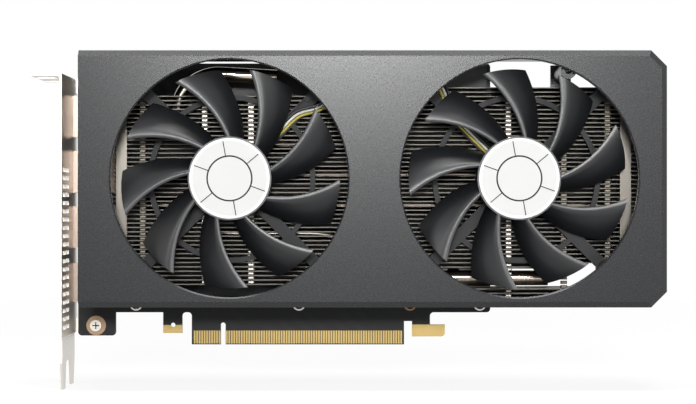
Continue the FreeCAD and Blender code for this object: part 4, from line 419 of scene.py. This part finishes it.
class CARD_OT_finish_board(Operator):
    """Finish the circuit board, its gold and what is soldered to it"""
    bl_idname = "card.finish_board"
    bl_label = "Finish Board"

    def execute(self, context):
        colours = context.scene.card_colours
        finish_node(["circuit_board"], solder_mask(colours.mask))
        # Hard gold over nickel: even, warm and satin, worn a little along the way it slides.
        gold = worked_metal("hard_gold_plating", colours.gold, roughness=0.34, line_mm=0.4, along="Z",
                            height_mm=0.003, spread=0.1)
        finish_node(["edge_contacts", "tab_plating"], gold)
        # Epoxy moulding compound: charcoal, matt and finely grained.
        epoxy = moulded("epoxy_moulded_charcoal", colour("#25272a"), roughness=0.55, grain_mm=0.4,
                        height_mm=0.01)
        finish_node(["processor_package", "memory_chips", "power_stages"], epoxy)
        # Pressed iron powder: dark grey, dull, with a slight sparkle.
        finish_node(["chokes"], moulded("iron_powder_pressed", colour("#3a3a3c"), roughness=0.6,
                                        grain_mm=0.3, height_mm=0.02, spread=0.3))
        # Polished silicon: a dark blue-grey mirror.
        finish_node(["processor_chip"], worked_metal("silicon_polished", colour("#4a5160"), roughness=0.08,
                                                     line_mm=2.0, along="X", height_mm=0.0005))
        # Drawn aluminium cans, bare.
        finish_node(["capacitors"], worked_metal("aluminium_drawn", colour("#c4c4c2"), roughness=0.3,
                                                 line_mm=0.6, along="Y", height_mm=0.003))
        # Fired barium titanate: tan and slightly glossy.
        finish_node(["back_capacitors"], moulded("ceramic_fired_tan", colour("#8c6f50"), roughness=0.4,
                                                 grain_mm=0.5, height_mm=0.004))
        return {"FINISHED"}


class CARD_OT_add_hub_marks(Operator):
    """Add the dark ring, the radial lines and the grey rim to each hub disc"""
    bl_idname = "card.add_hub_marks"
    bl_label = "Add Hub Marks"

    def execute(self, context):
        sizes = context.scene.card_sizes
        # Screen-printed ink: charcoal and matt, a hair above the white.
        ink = moulded("screen_ink_charcoal", colour("#1d1d1f"), roughness=0.6, grain_mm=0.3,
                      height_mm=0.001, ior=1.3)
        # The disc's turned rim, in pale grey polycarbonate.
        rim_grey = moulded("polycarbonate_pale_grey", colour("#bbbcbd"), roughness=0.35, grain_mm=0.8,
                           height_mm=0.001, spread=0.05)
        first_turn = math.radians(20)  # from the card's length to the first line
        for side in ("left", "right"):
            body = "fan_" + side
            low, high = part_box("hub_disc_" + side)
            centre = Vector((JOINTS[body].x, low.y, JOINTS[body].z))
            reach = (high.x - low.x) / 2
            marks = bmesh.new()
            self.add_ring(marks, centre, sizes.ring_radius, sizes.ring_wide, sizes.ink_high)
            for number in range(sizes.tick_count):
                turn = number * FULL_TURN / sizes.tick_count + first_turn
                self.add_tick(marks, centre, turn, sizes.ring_radius + sizes.ring_wide / 2,
                              reach - sizes.tick_margin, sizes.tick_wide, sizes.ink_high)
            add_piece(f"hub_marks_{side}", marks, ink, body)
            rim = bmesh.new()
            self.add_ring(rim, centre, reach - sizes.rim_wide / 2, sizes.rim_wide, sizes.rim_high)
            add_piece(f"hub_rim_{side}", rim, rim_grey, body)
        return {"FINISHED"}

    def add_ring(self, shape, centre, radius, wide, high):
        """Add a low ring with sloping sides round the fan's axis."""
        spin_section(shape, centre, [(radius - wide / 2, 0.0), (radius - wide / 3, -high),
                                     (radius + wide / 3, -high), (radius + wide / 2, 0.0)], steps=96)

    def add_tick(self, shape, centre, turn, start, end, wide, high):
        """Add one flat line that runs outwards."""
        verts = add_box(shape, (end - start, high, wide), ((start + end) / 2, -high / 2, 0))
        bmesh.ops.rotate(shape, cent=(0, 0, 0), matrix=Matrix.Rotation(turn, 3, "Y"), verts=verts)
        bmesh.ops.translate(shape, vec=centre, verts=verts)


class CARD_OT_add_fin_tabs(Operator):
    """Add the folded lock tabs that chain each fin to the next"""
    bl_idname = "card.add_fin_tabs"
    bl_label = "Add Fin Tabs"

    def execute(self, context):
        sizes = context.scene.card_sizes
        # Sheared aluminium tabs, lit copy: a painted highlight makes them lighter than the fins, where
        # their folds face the light.
        bright = worked_metal("aluminium_sheared_painted_highlight", colour("#a29d95"), roughness=0.4, line_mm=0.4,
                              along="X", height_mm=0.004)
        # Tabs nearer the ends of the stacks: the same sheet, shaded copy, darker as painted shade.
        dull = worked_metal("aluminium_sheared_painted_shade", colour("#6b645a"), roughness=0.5, line_mm=0.4,
                            along="X", height_mm=0.004)
        # Each row of this list: fin stack, kind (bright for the painted highlight, dull for the painted
        # shade), X of each column of tabs in mm, and metal.
        rows = (("near", "bright", (-5.6, 12.4), bright), ("near", "dull", (-29.7,), dull),
                ("far", "bright", (112.5,), bright), ("far", "dull", (134.0, 151.0), dull))
        for stack, kind, places, metal in rows:
            low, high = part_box("fin_stack_" + stack)
            shape = bmesh.new()
            count = round((high.z - low.z - sizes.first_tab) / sizes.fin_pitch)
            for place in places:
                for number in range(count):
                    height = low.z + sizes.first_tab + number * sizes.fin_pitch
                    self.add_tab(shape, Vector((place * MM, low.y, height)), sizes.tab_wide,
                                 sizes.tab_deep, sizes.fin_pitch - sizes.tab_gap)
            add_piece(f"fin_tabs_{stack}_{kind}", shape, metal, "card")
        return {"FINISHED"}

    def add_tab(self, shape, foot, wide, deep, high):
        """Add one folded tab between two fins: a low box whose front is drawn in to a ridge."""
        stand_out = 0.03 * MM  # how far the ridge stands out ahead of the fins' front edges
        clearance = 0.02 * MM  # above the fin that the tab stands on
        verts = add_box(shape, (wide, deep, high),
                        foot + Vector((0, deep / 2 - stand_out, high / 2 + clearance)))
        front = [vert for vert in verts if vert.co.y < foot.y]
        middle = foot + Vector((0, 0, high / 2))
        ridge = (0.72, 1.0, 0.5)  # share of the tab's width, depth and height that is left in front
        bmesh.ops.scale(shape, vec=ridge, space=Matrix.Translation(-middle), verts=front)


class CARD_OT_add_board_details(Operator):
    """Add solder joints behind the board and the plated rings along its lower edge"""
    bl_idname = "card.add_board_details"
    bl_label = "Add Board Details"

    def execute(self, context):
        sizes = context.scene.card_sizes
        # Lead-free solder: silvery and slightly dull, drawn up round each pin.
        solder = worked_metal("tin_solder", colour("#bdbcb8"), roughness=0.3, line_mm=0.4, along="Y",
                              height_mm=0.01)
        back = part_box("circuit_board")[1].y
        shape = bmesh.new()
        # The power socket's pins stand in two rows, 4.2 mm apart.
        low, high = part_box("power_socket")
        columns = 4
        across = (high.x - low.x) / columns
        for column in range(columns):
            for line in (3.0 * MM, 7.2 * MM):
                self.add_joint(shape, Vector((low.x + across * (column + 0.5), back, low.z + line)),
                               sizes.joint_radius)
        # The capacitors stand in one row; each has two pins, 2.5 mm apart.
        low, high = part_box("capacitors")
        middle = (low.x + high.x) / 2
        can_radius = (high.x - low.x) / 2
        can_count = 7
        step = (high.z - low.z - 2 * can_radius) / (can_count - 1)
        for number in range(can_count):
            for side in (-1.25 * MM, 1.25 * MM):
                self.add_joint(shape, Vector((middle + side, back, low.z + can_radius + number * step)),
                               sizes.joint_radius * 0.9)
        # The fan headers' pins are finer, 1.25 mm apart.
        low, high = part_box("fan_headers")
        header_half = 3 * MM
        for end in (low.x + header_half, high.x - header_half):
            for pin in (-1.25 * MM, 0.0, 1.25 * MM):
                self.add_joint(shape, Vector((end, back, (low.z + high.z) / 2 + pin)),
                               sizes.joint_radius * 0.55)
        add_piece("solder_joints", shape, solder, "card")
        self.add_mount_pads(sizes)
        self.paint_shade_in_screw_crosses()
        return {"FINISHED"}

    def add_mount_pads(self, sizes):
        """Add the plated rings round the holes along the board's lower edge, half under the shroud."""
        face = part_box("circuit_board")[0].y
        # Tin over copper, levelled with hot air: silvery and smooth.
        tin = worked_metal("tin_hot_air_levelled", colour("#c8c6c0"), roughness=0.3, line_mm=0.4, along="X",
                           height_mm=0.004)
        # Bare copper under clear lacquer: warm and satin.
        bare = worked_metal("copper_lacquered", colour("#8a6a52"), roughness=0.35, line_mm=0.4, along="X",
                            height_mm=0.004)
        half = sizes.pad_wide / 2
        plating = 0.05 * MM
        corners = [(sizes.pad_radius - half + share * half, depth)
                   for share, depth in ((-1, 0), (-0.8, -plating), (0.8, -plating), (1, 0))]
        for name, places, metal, slot in (("mount_pads_tin", (-35.0, 30.4, 103.0), tin, "screw_steel"),
                                          ("mount_pads_copper", (75.0,), bare, "copper")):
            shape = bmesh.new()
            for place in places:
                spin_section(shape, Vector((place * MM, face, sizes.pad_height)), corners, steps=32)
            add_piece(name, shape, metal, "card")

    def paint_shade_in_screw_crosses(self):
        """Put painted shade in the cross recesses of the bracket screws: dark boxes for the shade that
        gathers in them.
        """
        # Painted shade: a matt near-black, sunk in the recess.
        dark = moulded("painted_shade_black_matt", colour("#1a1713"), roughness=0.7, grain_mm=0.4,
                       height_mm=0.004, ior=1.3)
        low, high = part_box("bracket_screws")
        radius = (high.x - low.x) / 2
        long, narrow = 1.16 * radius, 0.17 * radius
        thick, sunk = 0.3 * MM, 0.85 * MM
        shape = bmesh.new()
        for height in (low.z + radius, high.z - radius):
            for wide, tall in ((long, narrow), (narrow, long)):
                add_box(shape, (wide, thick, tall), (low.x + radius, low.y + sunk, height))
        add_piece("screw_cross_painted_shade", shape, dark, "card")

    def add_joint(self, shape, foot, radius):
        """Add one solder cone with a cut pin end, standing out behind the board."""
        high = radius * 0.9
        made = bmesh.ops.create_cone(shape, cap_ends=True, segments=14, radius1=radius,
                                     radius2=radius * 0.35, depth=high)
        verts = made["verts"]
        backwards = Matrix.Rotation(math.radians(-90), 3, "X")
        bmesh.ops.rotate(shape, cent=(0, 0, 0), matrix=backwards, verts=verts)
        bmesh.ops.translate(shape, vec=foot + Vector((0, high / 2, 0)), verts=verts)


# ---------------------------------------------------------------- studio

def seen_directly(tree):
    """One for camera, mirror and see-through rays, and nought for the light that is passed on."""
    path = add_node(tree, "ShaderNodeLightPath")
    seen = path.outputs["Is Camera Ray"]
    for kind in ("Is Glossy Ray", "Is Transmission Ray"):
        either = add_node(tree, "ShaderNodeMath", {0: seen, 1: path.outputs[kind]}, operation="MAXIMUM")
        seen = either.outputs["Value"]
    return seen


class CARD_OT_set_stage(Operator):
    """Lay the pale floor, hang the lamps and set the camera"""
    bl_idname = "card.set_stage"
    bl_label = "Set Stage"
    floor_radius = 6.0  # metres, so that its edge lies far behind every view

    def execute(self, context):
        scene = context.scene
        low, high = CAD_BOX
        middle = (low + high) / 2
        self.add_floor(low.z, middle)
        self.set_world(scene)
        # Each softbox: name, place and aim in metres, width and height in metres, power in watts.
        for name, place, aim, wide, tall, power in (
                ("softbox_key", (0.045, -1.5, 0.385), (0.055, 0, 0.07), 0.34, 0.2, 18.5),
                ("softbox_right", (0.85, -1.2, 0.35), middle, 0.5, 0.5, 9.0),
                ("softbox_left", (-1.2, -0.9, 0.4), middle, 0.5, 0.5, 3.0),
                ("softbox_top", (0.05, -1.1, 0.95), middle, 0.6, 0.4, 5.0),
                ("softbox_above", (0.05, -0.2, 1.3), middle, 0.8, 0.4, 13.0)):
            self.add_lamp(scene, name, Vector(place), Vector(aim), wide, tall, power)
        # The camera looks level and square at the card's face.
        camera = bpy.data.cameras.new("camera")
        camera.lens = 90.2
        camera.sensor_width = 36.0
        holder = bpy.data.objects.new("camera", camera)
        sizes = scene.card_sizes
        holder.location = (sizes.camera_along, -sizes.camera_reach, sizes.camera_high)
        holder.rotation_euler = (math.radians(90), 0, 0)
        scene.collection.objects.link(holder)
        scene.camera = holder
        scene.view_settings.view_transform = "Standard"
        return {"FINISHED"}

    def add_floor(self, level, middle):
        """A round white floor that touches the card's lowest point."""
        shape = bmesh.new()
        bmesh.ops.create_circle(shape, cap_ends=True, segments=96, radius=self.floor_radius)
        bmesh.ops.translate(shape, vec=(middle.x, middle.y, level), verts=shape.verts)
        mesh = bpy.data.meshes.new("floor")
        shape.to_mesh(mesh)
        shape.free()
        floor = bpy.data.objects.new("floor", mesh)
        bpy.context.scene.collection.objects.link(floor)
        # White seamless paper: matt, with fibres about 2 mm long. It is lit from below as a light table is,
        # in full from 0.7 m away and a little less near the card, so only shadows darken it.
        material, tree, shader, place = new_finish("paper_white_seamless", colour("#ffffff"), roughness=0.9)
        fibres = add_node(tree, "ShaderNodeTexNoise", {"Vector": place, "Scale": 1 / (2 * MM)})
        raise_bump(tree, shader, fibres.outputs["Fac"], height_mm=0.01)
        away = add_node(tree, "ShaderNodeVectorMath", {0: place}, operation="LENGTH")
        share = add_node(tree, "ShaderNodeMapRange", {
            "Value": away.outputs["Value"], "From Min": 0.2, "From Max": 0.7,
            "To Min": 0.84, "To Max": 1.0})
        glow = add_node(tree, "ShaderNodeMath", {0: share.outputs["Result"], 1: seen_directly(tree)},
                        operation="MULTIPLY")
        light = add_node(tree, "ShaderNodeEmission", {"Color": (1.0, 1.0, 1.0, 1.0), "Strength": 1.0})
        both = add_node(tree, "ShaderNodeMixShader", {
            0: glow.outputs["Value"], 1: shader.outputs["BSDF"], 2: light.outputs["Emission"]})
        tree.links.new(both.outputs["Shader"], tree.nodes["Material Output"].inputs["Surface"])
        mesh.materials.append(material)

    def set_world(self, scene):
        """An even pale world, white where it is seen."""
        world = bpy.data.worlds.new("studio")
        world.use_nodes = True
        scene.world = world
        tree = world.node_tree
        tree.nodes.clear()
        strength = add_node(tree, "ShaderNodeMapRange", {
            "Value": seen_directly(tree), "To Min": 0.08, "To Max": 1.0})
        light = add_node(tree, "ShaderNodeBackground", {
            "Color": (1.0, 1.0, 1.0, 1.0), "Strength": strength.outputs["Result"]})
        add_node(tree, "ShaderNodeOutputWorld", {"Surface": light.outputs["Background"]})

    def add_lamp(self, scene, name, place, aim, wide, tall, power):
        """A softbox aimed at a point."""
        lamp = bpy.data.lights.new(name, "AREA")
        lamp.shape = "RECTANGLE"
        lamp.size = wide
        lamp.size_y = tall
        lamp.energy = power
        holder = bpy.data.objects.new(name, lamp)
        holder.location = place
        holder.rotation_euler = (aim - place).to_track_quat("-Z", "Y").to_euler()
        scene.collection.objects.link(holder)


class CARD_PT_dressing(Panel):
    """The steps that dress the card, in order"""
    bl_label = "Card Dressing"
    bl_space_type = "VIEW_3D"
    bl_region_type = "UI"
    bl_category = "Card"

    def draw(self, context):
        for group in (context.scene.card_colours, context.scene.card_sizes):
            box = self.layout.box()
            for name in group.bl_rna.properties.keys():
                if name not in ("rna_type", "name"):
                    box.prop(group, name)
        for step in STEPS:
            self.layout.operator(step.bl_idname)


STEPS = (CARD_OT_finish_shroud, CARD_OT_finish_fans, CARD_OT_finish_cooler, CARD_OT_finish_bracket,
         CARD_OT_finish_board, CARD_OT_add_hub_marks, CARD_OT_add_fin_tabs, CARD_OT_add_board_details,
         CARD_OT_set_stage)
CLASSES = (CardColours, CardSizes, *STEPS, CARD_PT_dressing)


def register():
    for cls in CLASSES:
        bpy.utils.register_class(cls)
    bpy.types.Scene.card_colours = PointerProperty(type=CardColours)
    bpy.types.Scene.card_sizes = PointerProperty(type=CardSizes)


def unregister():
    del bpy.types.Scene.card_sizes
    del bpy.types.Scene.card_colours
    for cls in reversed(CLASSES):
        bpy.utils.unregister_class(cls)


def main():
    """Register the add-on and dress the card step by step."""
    register()
    bpy.ops.card.finish_shroud()
    bpy.ops.card.finish_fans()
    bpy.ops.card.finish_cooler()
    bpy.ops.card.finish_bracket()
    bpy.ops.card.finish_board()
    bpy.ops.card.add_hub_marks()
    bpy.ops.card.add_fin_tabs()
    bpy.ops.card.add_board_details()
    bpy.ops.card.set_stage()


if __name__ == "__main__":
    main()
